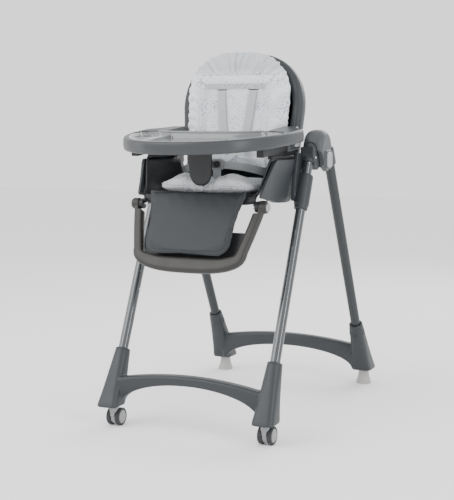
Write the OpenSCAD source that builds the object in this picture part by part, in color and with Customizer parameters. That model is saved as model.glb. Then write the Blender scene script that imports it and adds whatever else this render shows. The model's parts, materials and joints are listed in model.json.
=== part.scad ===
// Folding baby high chair: A-frame of two pairs of tubes, height-adjustable seat,
// reclining back, sliding tray with a lift-out insert, and a tilting leg rest.
// Millimetres. +Z is up, the chair faces -Y, and "right" is +X, as seen from the front.
// The origin is on the floor, under the middle of the chair.

/* [Frame] */
// Half the distance between the front tubes
front_x = 232.5; // [225:0.5:245]
// Half the distance between the rear tubes
rear_x = 247; // [240:0.5:255]
// Height of the fold pivots
pivot_z = 776; // [740:1:820]
// Distance of each leg's axis from the fold pivot
leg_offset = 41.5; // [38:0.5:46]
// Lean of the front legs from vertical, degrees
front_lean = 24.5; // [22:0.5:26]
// Lean of the rear legs from vertical, degrees
rear_lean = 27.4; // [25:0.2:29]
// Outer radius of the front tubes
front_tube_r = 14; // [12:0.5:15]
// Outer radius of the rear tubes
rear_tube_r = 14.5; // [12:0.5:15.5]
// Wall of the tubes
tube_wall = 1.5; // [1:0.1:2.5]

/* [Bases] */
// Height of the underside of the front sockets
front_base_z = 60; // [54:1:66]
// Height of the underside of the rear sockets
rear_base_z = 47; // [44:1:54]
// Height of the top of both pairs of sockets
socket_z = 204; // [190:1:220]
// Wall around each tube at the top of its socket
socket_wall = 7; // [5:0.5:9]
// Crown of the front arch above the floor
front_arch_z = 161; // [150:1:175]
// Crown of the rear arch above the floor
rear_arch_z = 152; // [142:1:165]
// Depth of the arch beams, front to back
beam_depth = 36; // [30:1:44]

/* [Casters and feet] */
// Radius of the caster wheels
wheel_r = 25; // [22:0.5:27]
// Width of one caster wheel
wheel_w = 13; // [10:0.5:15]
// Distance the axle trails behind the caster stem
caster_trail = 12; // [8:1:16]
// Radius of the caster stem
stem_r = 5.5; // [4.5:0.5:6.5]
// Radius of a rear foot where it meets the floor
foot_r = 24; // [20:1:27]

/* [Seat] */
// Half width of the seat bucket at its rim
seat_half = 188; // [182:1:190]
// Wall of the moulded shells
shell_wall = 4; // [3:0.5:5]
// Height of the seat floor at the front lip
seat_z = 650; // [646:1:656]
// Thickness of the seat cushion
seat_pad = 46; // [36:1:50]
// Length of the slider sleeves
sleeve_l = 104; // [90:1:112]

/* [Backrest] */
// Rest angle of the back from vertical, degrees
back_lean = 8; // [6:1:11]
// Length of the backrest shell above its hinge
back_h = 376; // [340:1:390]
// Half width of the backrest shell
back_half = 189; // [180:1:192]
// Thickness of the back cushion
back_pad = 113; // [100:1:118]

/* [Tray] */
// Half width of the tray
tray_half = 246; // [235:1:260]
// Reach of the tray in front of its widest line
tray_reach = 324; // [300:1:340]
// Height of the tray's moulded rim
tray_h = 35; // [30:1:40]
// Width of the rim around the insert
rim_w = 15; // [11:1:20]
// Slope of the tray, degrees down towards the front
tray_tilt = 5.65; // [4:0.05:7]
// Width of the crotch post
post_w = 73; // [60:1:80]

/* [Leg rest] */
// Half width of the leg rest at its pivots
leg_half = 196; // [190:1:198]
// Length of the leg rest from its pivots to its bottom edge
leg_l = 195; // [170:1:215]
// Lean of the leg rest from vertical at rest, degrees
leg_lean = 26.6; // [22:0.2:30]

/* [Hidden] */

// Clearances and small standard sizes
run_gap = 0.06;    // radial clearance of a pin or tube that runs in its bore
slip_gap = 0.3;    // gap between pieces that slide past each other
pivot_y = -5;      // fold pivots, front to back
$fn = 64;

slate = [0.36, 0.38, 0.39];
dark = [0.20, 0.21, 0.22];
pale = [0.72, 0.73, 0.73];
steel = [0.70, 0.71, 0.72];
cloth = [0.88, 0.89, 0.91];

// Places along the legs. A leg's s is measured up its axis, from the point nearest the pivot.
function front_s(z) = (z - pivot_z - leg_offset * sin(front_lean)) / cos(front_lean);
function front_y(z) = pivot_y - leg_offset / cos(front_lean) - (pivot_z - z) * tan(front_lean);
function rear_s(z) = (z - pivot_z - leg_offset * sin(rear_lean)) / cos(rear_lean);
function rear_y(z) = pivot_y + leg_offset / cos(rear_lean) + (pivot_z - z) * tan(rear_lean);

module sided(side) {
    mirror([side < 0 ? 1 : 0, 0, 0]) children();
}

module on_front_leg(x = front_x) {
    translate([x, pivot_y, pivot_z])
        rotate([-front_lean, 0, 0]) translate([0, -leg_offset, 0]) children();
}

module on_rear_leg(x = rear_x) {
    translate([x, pivot_y, pivot_z])
        rotate([rear_lean, 0, 0]) translate([0, leg_offset, 0]) children();
}

module rod_x(r, x0, x1) {
    translate([x0, 0, 0]) rotate([0, 90, 0]) cylinder(r = r, h = x1 - x0);
}

module block(lo, hi) {
    translate(lo) cube(hi - lo);
}

// A side-view outline given as [y, z] points, from x0 to x1
module side_plate(points, x0, x1) {
    translate([x0, 0, 0]) rotate([90, 0, 90]) linear_extrude(x1 - x0) polygon(points);
}

// A slab with round vertical corners
module round_slab(size_x, size_y, h, r) {
    linear_extrude(h) for (a = [0, 1]) {
        square([size_x - 2 * r * a, size_y - 2 * r * (1 - a)], center = true);
        for (sx = [-1, 1]) translate([sx * (size_x / 2 - r), (a - 0.5) * (size_y - 2 * r)])
            circle(r);
    }
}

// ---- Front frame -------------------------------------------------------------------------

tube_foot_z = 118;              // lower end of the front tubes, inside their sockets
front_block = [68, 76, 26];     // foot of a front socket
front_block_y = front_y(front_base_z) - 1;
stem_y = -367;                  // caster stems, front to back
stem_x = 230;
stem_h = 36;                    // depth of the stem bore
arch_end = front_x - 14;        // the arch beams run into the sockets

// Outline of an arched beam, seen from the front: a shallow crown over an elliptical arch
function arch_top(x, half, crown, drop) = crown - drop * pow(x / half, 2);
function arch_under(x, half, foot, under) =
    foot + (under - foot) * sqrt(max(0, 1 - pow(x / half, 2)));
function arch_outline(end, crown, drop, half, foot, under, n = 20) = concat(
    [for (i = [0 : n]) let (x = -end + 2 * end * i / n) [x, arch_top(x, end, crown, drop)]],
    [for (i = [0 : n]) let (x = min(half, end) * cos(180 * i / n))
        [x, arch_under(x, half, foot, under)]]);

module arch(end, crown, drop, half, foot, under, y_mid) {
    translate([0, y_mid + beam_depth / 2, 0]) rotate([90, 0, 0]) linear_extrude(beam_depth)
        polygon(arch_outline(end, crown, drop, half, foot, under));
}

module front_socket() {
    hull() {
        on_front_leg() translate([0, 0, front_s(socket_z) - 12])
            cylinder(r = front_tube_r + socket_wall, h = 12, $fn = 32);
        translate([front_x + 1, front_block_y, front_base_z])
            round_slab(front_block[0], front_block[1], front_block[2], 14, $fn = 32);
    }
}

module front_base() {
    color(slate) difference() {
        union() {
            arch(arch_end, front_arch_z, 22, arch_end - 15, front_base_z, front_arch_z - 28,
                front_y(110));
            for (side = [-1, 1]) sided(side) front_socket();
        }
        for (side = [-1, 1]) sided(side) {
            on_front_leg() translate([0, 0, front_s(tube_foot_z)])
                cylinder(r = front_tube_r, h = 200);
            translate([stem_x, stem_y, front_base_z - 1])
                cylinder(r = stem_r + run_gap, h = stem_h + 1);
            on_front_leg() front_screw(screw_head_h + 40);
        }
    }
}

collar_low_z = 734;             // lower edge of the hub's collar
collar_r = front_tube_r + 6;
collar_h = 50;
collar_gap = 1.2;               // between the collar and the cap around it
tube_top_s = front_s(collar_low_z) + 44;

module front_tube() {
    s0 = front_s(tube_foot_z);
    color(slate) on_front_leg() difference() {
        translate([0, 0, s0]) cylinder(r = front_tube_r, h = tube_top_s - s0);
        translate([0, 0, s0 - 1]) cylinder(r = front_tube_r - tube_wall, h = tube_top_s - s0 + 2);
        translate([0, 0, stop_s]) rod_x(stop_pin_r, -20, 20);
        front_screw(screw_head_h);
    }
}

// The stop pins cross the front tubes and carry the seat at its lowest setting
stop_pin_r = 3;
stop_s = front_s(370);

module stop_pins() {
    color(steel) for (side = [-1, 1]) sided(side) on_front_leg()
        translate([0, 0, stop_s]) rod_x(stop_pin_r, -front_tube_r - 1.5, front_tube_r + 1.5);
}

// Screws through the rear of each front socket into the tube's end
screw_r = 3;
screw_head_r = 5.5;
screw_head_h = 3;
screw_grip = 8;                 // plastic under the screw's head
front_screw_s = front_s(150);

module front_screw(head_h) {
    translate([0, 0, front_screw_s]) rotate([-90, 0, 0]) {
        translate([0, 0, front_tube_r - tube_wall - 3])
            cylinder(r = screw_r, h = screw_grip + tube_wall + 4);
        translate([0, 0, front_tube_r + screw_grip]) cylinder(r = screw_head_r, h = head_h);
    }
}

module front_screws() {
    color(steel) for (side = [-1, 1]) sided(side) on_front_leg() front_screw(screw_head_h);
}

// ---- Fold hub ----------------------------------------------------------------------------

hub_in = 206;                   // inner face of the hub cap
hub_out = 266;                  // outer face of the hub cap
hub_r = 50;
hub_plate = 6;
pin_r = 5;
web_dy = -95;                   // centre of the round edge of the front hub, from the pivot
web_dz = -61;
web_r = 66;
web_lead = 31;                  // web ahead of the tube's axis: the tray's arms pass it
hub_core_r = 22;                // disc of the front hub inside the cap
hub_core_gap = 1.5;

web_in = hub_in + hub_plate + slip_gap;
web_out = hub_out - 2 * hub_plate - slip_gap;

// Collar, web and pivot disc of the front half of the hub, one moulding
module front_hub() {
    s0 = front_s(collar_low_z);
    color(slate) difference() {
        union() {
            on_front_leg() translate([0, 0, s0]) cylinder(r = collar_r, h = collar_h);
            intersection() {
                translate([0, pivot_y + web_dy, pivot_z + web_dz]) rod_x(web_r, web_in, web_out);
                translate([0, pivot_y, pivot_z])
                    side_plate([[-96, 6], [-66, 14], [-12, 10], [-12, -40], [-20, -58],
                        [-68, -44]], web_in + 6, web_out);
                on_front_leg() translate([-web_r, -web_lead, -2 * web_r])
                    cube([2 * web_r, 2 * web_r, 3 * web_r]);
            }
            translate([0, pivot_y, pivot_z]) {
                rod_x(hub_core_r, web_in + 6, web_out);
                side_plate([[-70, -4], [-16, 14], [-4, -20], [-40, -46]],
                    web_in + 6, web_out - 8);
            }
        }
        on_front_leg() translate([0, 0, s0 - 40]) cylinder(r = front_tube_r, h = 84);
        translate([0, pivot_y, pivot_z]) rod_x(pin_r, web_in - 20, web_out + 10);
    }
}

module hub_pivot_pins() {
    color(steel) for (side = [-1, 1]) sided(side)
        translate([0, pivot_y, pivot_z]) rod_x(pin_r, hub_in + 1, hub_out - 4);
}

// Fold release button on the outer face of the cap, with its bezel
button_y = 4;                   // from the pivot
button_z = -35;
button_w = 40;
button_h = 44;
button_travel = 4;
bezel_out = hub_out + 6;
socket_r = rear_tube_r + 5.5;
rear_socket_s = -78;

module hub_outline(x0, x1) {
    hull() {
        rod_x(hub_r, x0, x1, $fn = 48);
        block([x0, button_y - 27, button_z - 34], [x1, button_y + 22, button_z]);
        translate([0, -pivot_y, -pivot_z]) on_rear_leg(0)
            translate([x0, -8, rear_socket_s]) cube([x1 - x0, 16 + 8, 30]);
    }
}

// Rear half of the hub: a cap over the pivot, closed above and behind, with the rear socket
module hub_cap() {
    color([0.44, 0.46, 0.47]) difference() {
        union() {
            translate([0, pivot_y, pivot_z]) difference() {
                hub_outline(hub_in, hub_out);
                // the round gap around the front half's visible edge
                translate([0, web_dy, web_dz]) rod_x(web_r + 2.5, hub_in - 1, hub_out + 1);
                block([hub_in - 1, -140, -130], [hub_out + 1, web_dy + 40, -10]);
            }
            translate([0, pivot_y, pivot_z]) difference() {
                block([hub_out, button_y - button_w / 2 - 4, button_z - button_h / 2 - 4],
                    [bezel_out, button_y + button_w / 2 + 4, button_z + button_h / 2 + 4]);
                block([hub_out - 1, button_y - button_w / 2 - slip_gap,
                        button_z - button_h / 2 - slip_gap],
                    [bezel_out + 1, button_y + button_w / 2 + slip_gap,
                        button_z + button_h / 2 + slip_gap]);
            }
            on_rear_leg() translate([0, 0, rear_socket_s])
                cylinder(r = socket_r, h = -rear_socket_s - 10);
        }
        // room for the front half of the hub, which swings through as the chair folds
        translate([0, pivot_y, pivot_z]) {
            rod_x(hub_core_r + hub_core_gap, hub_in + hub_plate, web_out + slip_gap);
            side_plate([[-75, 18], [-40, 18], [-16, 20], [16, 0], [26, -8], [28, -60],
                [40, -130], [-120, -130], [-120, -8], [-75, -8]],
                hub_in + hub_plate, web_out + slip_gap);
        }
        on_front_leg() translate([0, 0, front_s(collar_low_z) - 1])
            cylinder(r = collar_r + collar_gap, h = collar_h + 2);
        on_rear_leg() translate([0, 0, rear_socket_s - 1])
            cylinder(r = rear_tube_r, h = -rear_socket_s - 19);
        translate([0, pivot_y, pivot_z]) rod_x(pin_r + run_gap, hub_in - 1, hub_out - 2);
        // pocket for the button's springs
        translate([0, pivot_y + button_y, pivot_z + button_z]) for (dz = [-12, 12])
            translate([0, 0, dz]) rod_x(3.5, web_out + 3, hub_out + 1);
        block([web_out + 6, pivot_y + button_y - button_w / 2 - slip_gap,
                pivot_z + button_z - button_h / 2 - slip_gap],
            [hub_out + 1, pivot_y + button_y + button_w / 2 + slip_gap,
                pivot_z + button_z + button_h / 2 + slip_gap]);
    }
}

module fold_button() {
    color(pale) translate([0, pivot_y + button_y, pivot_z + button_z]) difference() {
        translate([hub_out - 0.4, 0, 0]) rotate([0, 90, 0])
            round_slab(button_h, button_w, 8.4, 6);
        for (dz = [-12, 12]) translate([0, 0, dz]) rod_x(3.5, hub_out - 1, hub_out + 2);
    }
}

module fold_springs() {
    color(steel) translate([0, pivot_y + button_y, pivot_z + button_z])
        for (dz = [-12, 12]) translate([0, 0, dz]) difference() {
            rod_x(3, web_out + 3, hub_out + 2);
            rod_x(2, web_out + 2, hub_out + 3);
        }
}

// ---- Rear frame --------------------------------------------------------------------------

rear_block = [70, 84, 24];
rear_block_x = 249;
rear_block_y = 421;
rear_foot_end_z = 100;
rear_arch_end = rear_x - 14;

module rear_socket() {
    hull() {
        on_rear_leg() translate([0, 0, rear_s(socket_z) - 12])
            cylinder(r = rear_tube_r + socket_wall, h = 12, $fn = 32);
        translate([rear_block_x, rear_block_y, rear_base_z])
            round_slab(rear_block[0], rear_block[1], rear_block[2], 14, $fn = 32);
    }
}

module rear_base() {
    color(slate) difference() {
        union() {
            arch(rear_arch_end, rear_arch_z, 20, rear_arch_end - 13, rear_base_z + 2,
                rear_arch_z - 41, rear_y(110));
            for (side = [-1, 1]) sided(side) rear_socket();
        }
        for (side = [-1, 1]) sided(side) {
            on_rear_leg() translate([0, 0, rear_s(rear_foot_end_z)])
                cylinder(r = rear_tube_r, h = 200);
            translate([rear_block_x, rear_block_y, rear_base_z - 1])
                cylinder(r = foot_peg_r, h = foot_peg_h + 1);
        }
    }
}

module rear_tube() {
    s0 = rear_s(rear_foot_end_z);
    s1 = -20 - 0.2;
    color(slate) on_rear_leg() difference() {
        translate([0, 0, s0]) cylinder(r = rear_tube_r, h = s1 - s0);
        translate([0, 0, s0 - 1]) cylinder(r = rear_tube_r - tube_wall, h = s1 - s0 + 2);
    }
}

foot_peg_r = 9;
foot_peg_h = 20;

// Rubber feet, flared where they meet the floor, each with a peg up into its socket
module rear_feet() {
    color(pale) for (side = [-1, 1]) sided(side)
        translate([rear_block_x, rear_block_y, 0]) rotate_extrude()
            polygon(concat(
                [[0, 0], [foot_r, 0], [foot_r, 5]],
                [for (i = [1 : 8]) let (t = i / 8)
                    [foot_r - (foot_r - 16) * (1 - pow(1 - t, 2)), 5 + (rear_base_z - 5) * t]],
                [[foot_peg_r, rear_base_z], [foot_peg_r, rear_base_z + foot_peg_h - 0.5],
                    [0, rear_base_z + foot_peg_h - 0.5]]));
}

// ---- Casters -----------------------------------------------------------------------------

axle_y = stem_y + caster_trail;
fork_half = 6;                  // half width of the housing between the wheels
wheel_gap = 1.2;
axle_r = 3;

module caster_fork() {
    color(pale) difference() {
        union() {
            translate([stem_x, stem_y, wheel_r + 4])
                cylinder(r = 13, h = front_base_z - 1 - wheel_r - 4);
            translate([stem_x, stem_y, front_base_z - 2])
                cylinder(r = stem_r, h = stem_h);
            translate([stem_x, axle_y, wheel_r]) rod_x(wheel_r - 4, -fork_half, fork_half);
            block([stem_x - fork_half, stem_y - 8, wheel_r],
                [stem_x + fork_half, axle_y, front_base_z - 8]);
        }
        translate([stem_x, axle_y, wheel_r]) {
            rod_x(axle_r + run_gap, -20, 20);
            for (side = [-1, 1]) sided(side)
                rod_x(wheel_r + 1.5, fork_half + 0.1, fork_half + 20);
        }
    }
}

module caster_tyres() {
    color(dark) translate([stem_x, axle_y, wheel_r]) for (side = [-1, 1]) sided(side)
        translate([fork_half + wheel_gap, 0, 0]) rotate([0, 90, 0]) rotate_extrude()
            polygon([[wheel_r - 6, 0], [wheel_r - 2, 0], [wheel_r, 2],
                [wheel_r, wheel_w - 2], [wheel_r - 2, wheel_w], [wheel_r - 6, wheel_w]]);
}

// Wheel centres and their steel axle turn as one
module caster_hubs() {
    color(pale) translate([stem_x, axle_y, wheel_r]) {
        rod_x(axle_r, -fork_half - wheel_gap - 1, fork_half + wheel_gap + 1);
        for (side = [-1, 1]) sided(side) translate([fork_half + wheel_gap, 0, 0])
            rotate([0, 90, 0]) rotate_extrude()
                polygon([[0, 0], [wheel_r - 6, 0], [wheel_r - 6, wheel_w - 1],
                    [wheel_r - 9, wheel_w + 1], [5, wheel_w + 2], [0, wheel_w + 2]]);
    }
}

// ---- Seat carriage -----------------------------------------------------------------------

sleeve_r = front_tube_r + 7;
sleeve_top_s = -102;
sleeve_low_s = sleeve_top_s - sleeve_l;
bracket_in = 208;               // the slider's bracket stands between sleeve and side cover
bracket_out = 214;
rail_in = 178;
rail_out = 198;

module slider() {
    color(slate) difference() {
        union() {
            on_front_leg() {
                translate([0, 0, sleeve_low_s + 12]) cylinder(r = sleeve_r, h = sleeve_l - 12);
                translate([0, 0, sleeve_low_s]) cylinder(r = sleeve_r - 2, h = 12);
            }
            side_plate([[-146, 640], [-66, 634], [-62, 700], [-92, 760], [-118, 760],
                [-146, 690]], bracket_in, bracket_out);
        }
        on_front_leg() {
            translate([0, 0, sleeve_low_s - 1])
                cylinder(r = front_tube_r + run_gap, h = sleeve_l + 2);
            // window for the height lever behind the sleeve
            translate([-lever_w / 2 - slip_gap, sleeve_r - 4, lever_s - slip_gap])
                cube([lever_w + 2 * slip_gap, 10, lever_l + 2 * slip_gap + lever_travel]);
        }
    }
}

// Height release lever on the back of each sleeve: it is squeezed upwards
lever_w = 16;
lever_l = 40;
lever_s = sleeve_top_s - 62;
lever_travel = 6;

module height_lever() {
    color(slate) on_front_leg() {
        translate([-lever_w / 2, sleeve_r - 4 + slip_gap, lever_s]) cube([lever_w, 8, lever_l]);
        translate([-lever_w / 2 - 2, sleeve_r + 3.4, lever_s + 6])
            cube([lever_w + 4, 5, lever_l - 12]);
    }
}

seat_front_y = -287;
seat_rear_y = -42;
seat_rim_z = 748;
leg_room = 28;                  // from the bucket's foot to the outer face of the leg rest
seat_low_half = leg_half - leg_room;    // half width of the bucket at its floor

// A box that widens from the seat floor to the rim, drawn in by inset on every side
module bucket(inset, z0, z1) {
    hull() {
        block([-seat_low_half + inset, seat_front_y + inset, z0],
            [seat_low_half - inset, seat_rear_y - inset, z0 + 1]);
        block([-seat_half + inset, seat_front_y + inset, z1 - 1],
            [seat_half - inset, seat_rear_y - inset, z1]);
    }
}

module seat_shell() {
    color(dark) difference() {
        for (side = [-1, 1]) sided(side) side_plate([[seat_rear_y - 3, seat_z - 4],
            [seat_rear_y - 3, hinge_z + 10], [hinge_y + 2, hinge_z + 12],
            [hinge_y + 12, hinge_z + 4], [hinge_y + 12, hinge_z - 6],
            [hinge_y - 2, hinge_z - 13]], ear_in, ear_out);
        translate([0, hinge_y, hinge_z]) rod_x(hinge_pin_r, -250, 250);
    }
    color(dark) difference() {
        bucket(0, seat_z - shell_wall - 10, seat_rim_z);
        bucket(shell_wall, seat_z - 2, seat_rim_z + 1);
        // the front is open above the lip, and the side walls lean back from it
        translate([-250, 0, 0]) rotate([90, 0, 90]) linear_extrude(500)
            polygon([[seat_front_y - 20, seat_z + 8], [seat_front_y + 6, seat_z + 8],
                [seat_front_y + 36, seat_rim_z + 2], [seat_front_y - 20, seat_rim_z + 2]]);
        // the rear is open above a low wall, where the back swings
        block([-seat_half + 14, seat_rear_y - 10, seat_z + 24],
            [seat_half - 14, seat_rear_y + 5, seat_rim_z + 5]);
    }
}

cover_t = 14;                   // depth of the side cover

// Outer side cover of the seat: a shallow moulding with its hollow facing in. It follows
// the flare of the bucket, and leans back at its front edge.
module side_cover() {
    outer = bracket_in - slip_gap;
    low = seat_half - seat_low_half - 6;    // how far the cover draws in at its foot
    color(slate) difference() {
        hull() {
            block([outer - low - cover_t, -300, 640], [outer - low, -90, 642]);
            block([outer - low - cover_t, -160, 626], [outer - low, -92, 628]);
            block([outer - cover_t, -240, 742], [outer, -78, 744]);
        }
        hull() {
            block([outer - low - cover_t - 9, -292, 645], [outer - low - 3, -96, 646]);
            block([outer - low - cover_t - 9, -158, 631], [outer - low - 3, -96, 632]);
            block([outer - cover_t - 9, -234, 738], [outer - 3, -84, 739]);
        }
        hull() {
            block([0, seat_front_y - 20, seat_z - 30], [seat_low_half + slip_gap, 0, seat_z - 12]);
            block([0, seat_front_y - 20, seat_rim_z - 1], [seat_half + slip_gap, 0, seat_rim_z]);
        }
    }
}

// The tray slides along its own slope: everything on it is drawn in this frame
tray_y = -142;
tray_z = 828;
module on_tray() {
    translate([0, tray_y, tray_z]) rotate([tray_tilt, 0, 0]) children();
}

rail_top = -tray_h - 2;
rail_low = -tray_h - 22;
rail_front = -175;
rail_rear = 78;

module tray_rail() {
    color(dark) {
        difference() {
            on_tray() block([rail_in, rail_front, rail_low], [rail_out, rail_rear, rail_top]);
            on_tray() block([rail_in + 5, rail_front + 5, rail_low - 1],
                [rail_out - 5, rail_rear - 5, rail_top - 5]);
        }
        difference() {
            side_plate([[-236, seat_rim_z], [-70, seat_rim_z], [-70, 800], [-236, 800]],
                rail_in, seat_half);
            on_tray() block([0, -300, rail_low + 0.001], [300, 200, 100]);
        }
    }
}

// ---- Soft goods and harness --------------------------------------------------------------

pad_front_y = -268;
pad_rear_y = -50;

module soft_box(lo, hi, r) {
    hull() for (x = [lo[0] + r, hi[0] - r], y = [lo[1] + r, hi[1] - r],
            z = [lo[2] + r, hi[2] - r])
        translate([x, y, z]) sphere(r, $fn = 16);
}

module seat_cushion() {
    color(cloth) soft_box([-seat_low_half + 16, pad_front_y, seat_z - 1],
        [seat_low_half - 16, pad_rear_y, seat_z + seat_pad], 18);
}

buckle_y = -176;
buckle_z = seat_z + seat_pad + 34;
strap_t = 1.6;
strap_w = 25;

module crotch_strap() {
    color(cloth) translate([-strap_w / 2, buckle_y - strap_t / 2, seat_z + seat_pad + 0.5])
        cube([strap_w, strap_t, buckle_z - 16 - (seat_z + seat_pad + 0.5)]);
}

module buckle() {
    color(pale) translate([0, buckle_y, buckle_z]) rotate([90, 0, 0]) difference() {
        translate([0, 0, -7]) round_slab(46, 32, 14, 9);
        translate([0, 0, 2]) cylinder(r = buckle_button_r + slip_gap, h = 6);
    }
}

buckle_button_r = 9;
module buckle_button() {
    color(dark) translate([0, buckle_y - 4.5, buckle_z]) rotate([90, 0, 0])
        cylinder(r = buckle_button_r, h = 3.5);
}

// Waist straps run from the buckle's sides to the rear corners of the seat
module waist_straps() {
    color(cloth) for (side = [-1, 1]) sided(side)
        side_strap([[24, buckle_y], [70, buckle_y + 6], [118, buckle_y + 26],
            [148, buckle_y + 62]], buckle_z - 10, 20);
}

// A flat strap on edge: a run of straight lengths between plan points
module side_strap(points, z0, h) {
    translate([0, 0, z0]) linear_extrude(h) polygon(concat(points,
        [for (i = [len(points) - 1 : -1 : 0]) points[i] + [0.3, strap_t]]));
}

// ---- Backrest ----------------------------------------------------------------------------

back_low = -14;                 // foot of the back, below its hinge
back_low_half = 172;
hinge_y = -4;                   // recline hinge
hinge_z = 672;
ear_out = back_low_half - shell_wall - 0.5;     // ears on the seat, just inside the back
ear_in = ear_out - 7;
hinge_pin_r = 4;
shell_rim = -40;                // front rim and rear face of the shell, in the back's frame
shell_back = 38;

module on_back() {
    translate([0, hinge_y, hinge_z]) rotate([-back_lean, 0, 0]) children();
}

// Outline of the back, seen from the front: straight sides that widen upwards to a dome
function dome(half, low_half, z0, z1, n = 18) = concat(
    [[-low_half, z0], [low_half, z0]],
    [for (i = [0 : n]) let (a = 180 * i / n, c = cos(a))
        [half * sign(c) * pow(abs(c), 0.8), z1 - half * 0.86 + half * 0.86 * pow(sin(a), 0.86)]]);

module back_plate(half, low_half, z0, z1, y0, y1) {
    translate([0, y1, 0]) rotate([90, 0, 0]) linear_extrude(y1 - y0)
        polygon(dome(half, low_half, z0, z1));
}

module backrest_shell() {
    color(slate) on_back() difference() {
        back_plate(back_half, back_low_half, back_low, back_h, shell_rim, shell_back);
        back_plate(back_half - shell_wall, back_low_half - shell_wall, back_low - 1,
            back_h - shell_wall, shell_rim - 1, shell_back - shell_wall);
        // the wings stop above the seat, so that the back can swing
        block([-250, shell_rim - 1, back_low - 1], [250, -16, 86]);
        rod_x(hinge_pin_r + run_gap, -250, 250);
        // harness slots
        for (side = [-1, 1], z = [200, 268]) translate([side * 52, 20, z])
            cube([34, 60, 7], center = true);
    }
}

module backrest_rear_panel() {
    color(dark) on_back() back_plate(back_half - 34, back_low_half - 44, 30, back_h - 40,
        shell_back, shell_back + 6);
}

module back_cushion() {
    rear = shell_back - shell_wall - slip_gap;
    color(cloth) on_back() hull() {
        back_plate(back_half - 46, back_low_half - 40, 36, back_h - 8,
            rear - back_pad, rear - back_pad + 16);
        back_plate(back_half - 30, back_low_half - 28, 30, back_h - shell_wall - slip_gap,
            rear - back_pad + 16, rear);
    }
}

module shoulder_straps() {
    front = shell_back - shell_wall - slip_gap - back_pad;
    color(pale) on_back() for (side = [-1, 1])
        translate([side * 46 - strap_w / 2, front - strap_t - 0.5, 110])
            cube([strap_w, strap_t, 160]);
}

module recline_pins() {
    color(steel) translate([0, hinge_y, hinge_z]) for (side = [-1, 1]) sided(side)
        rod_x(hinge_pin_r, ear_in - 1, back_low_half + 1);
}

// Recline handle behind the back, squeezed upwards
handle_z = 262;
module recline_lever() {
    color(slate) on_back() translate([0, shell_back + 6 + slip_gap, handle_z])
        rotate([-90, 0, 0]) difference() {
            round_slab(120, 46, 16, 14);
            translate([0, 6, 5]) round_slab(84, 20, 12, 9);
        }
}

// ---- Tray --------------------------------------------------------------------------------

arm_rear = 84;
arm_rear_half = 200;
belly_half = 152;
belly_front = -84;
tray_power = 2.33;              // roundness of the tray's outline
recess = 20;                    // depth of the recess for the insert

// Front of the outline: a squared ellipse, drawn in by w
function tray_front(w, n = 32) = [for (i = [0 : n]) let (a = 180 * i / n, c = cos(a))
    [(tray_half - w) * sign(c) * pow(abs(c), 2 / tray_power),
        -(tray_reach - w) * pow(sin(a), 2 / tray_power)]];
// Belly cut-out, from the left arm round to the right, grown by w
function belly(w, y1, n = 16) = concat([[-belly_half - w, y1]],
    [for (i = [0 : n]) let (a = 180 + 180 * i / n, c = cos(a))
        [(belly_half + w) * sign(c) * pow(abs(c), 0.5),
            -20 + (-belly_front - 20 + w) * -pow(-sin(a), 0.7)]],
    [[belly_half + w, y1]]);
function arm_edge(w) = [[-tray_half + w + 4, 24], [-arm_rear_half - 12 + w, arm_rear - 18],
    [-arm_rear_half + w, arm_rear - w]];
function mirrored(p) = [for (i = [len(p) - 1 : -1 : 0]) [-p[i][0], p[i][1]]];
function tray_outline(w) = concat(tray_front(w), arm_edge(w), belly(w, arm_rear - w),
    mirrored(arm_edge(w)));
// The insert stops short of the arms
insert_rear = -64;
module insert_shape(w) {
    intersection() {
        polygon(concat(tray_front(w), belly(w, insert_rear)));
        translate([-300, -400]) square([600, 400 + insert_rear - w + rim_w]);
    }
}

module tray_base() {
    color(slate) on_tray() difference() {
        union() {
            translate([0, 0, -tray_h]) linear_extrude(tray_h) polygon(tray_outline(0));
            for (side = [-1, 1]) sided(side)
                block([rail_in - 11, -8, rail_low - 6], [rail_out + 7, arm_rear, -tray_h + 3]);
        }
        translate([0, 0, -recess]) linear_extrude(recess + 1) insert_shape(rim_w);
        translate([0, 0, -tray_h - 1]) linear_extrude(tray_h - recess - 2)
            insert_shape(5);
        for (side = [-1, 1]) sided(side) {
            // channel that slides on the seat's rail
            block([rail_in - slip_gap, -400, rail_low - slip_gap],
                [rail_out + slip_gap, arm_rear + 1, rail_top + slip_gap]);
            block([rail_in - 3, -9, rail_low - 7], [seat_half + 3, arm_rear + 1, rail_low]);
            // seat of the release button
            block([rail_out + 3, button_at - slip_gap, rail_low + 2 - slip_gap],
                [rail_out + 8, button_at + 30 + slip_gap, rail_low + 14 + slip_gap]);
        }
    }
}

insert_gap = 0.6;
cup_x = -160;                   // the cup wells are on the sitter's right
cup_y = -150;
cup_r = 36;

// Lift-out insert: a flat dished board with a deck of cup wells at one side
module tray_insert() {
    color(pale) on_tray() difference() {
        translate([0, 0, -recess + insert_gap]) linear_extrude(recess - insert_gap)
            insert_shape(rim_w + insert_gap);
        difference() {
            translate([0, 0, -recess + 3.5]) linear_extrude(recess)
                insert_shape(rim_w + 9);
            // deck that stands beside the main dish
            translate([0, 0, -recess]) linear_extrude(recess - 6)
                polygon([[-250, 20], [-100, 20], [-112, -250], [-250, -250]]);
        }
        translate([cup_x, cup_y, -recess + 3.5]) cylinder(r = cup_r, h = recess);
        translate([cup_x - 10, cup_y + 60, -recess + 3.5]) cylinder(r = 15, h = recess);
        translate([cup_x + 8, cup_y - 66, -recess + 8])
            round_slab(70, 34, recess, 12);
    }
}

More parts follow.
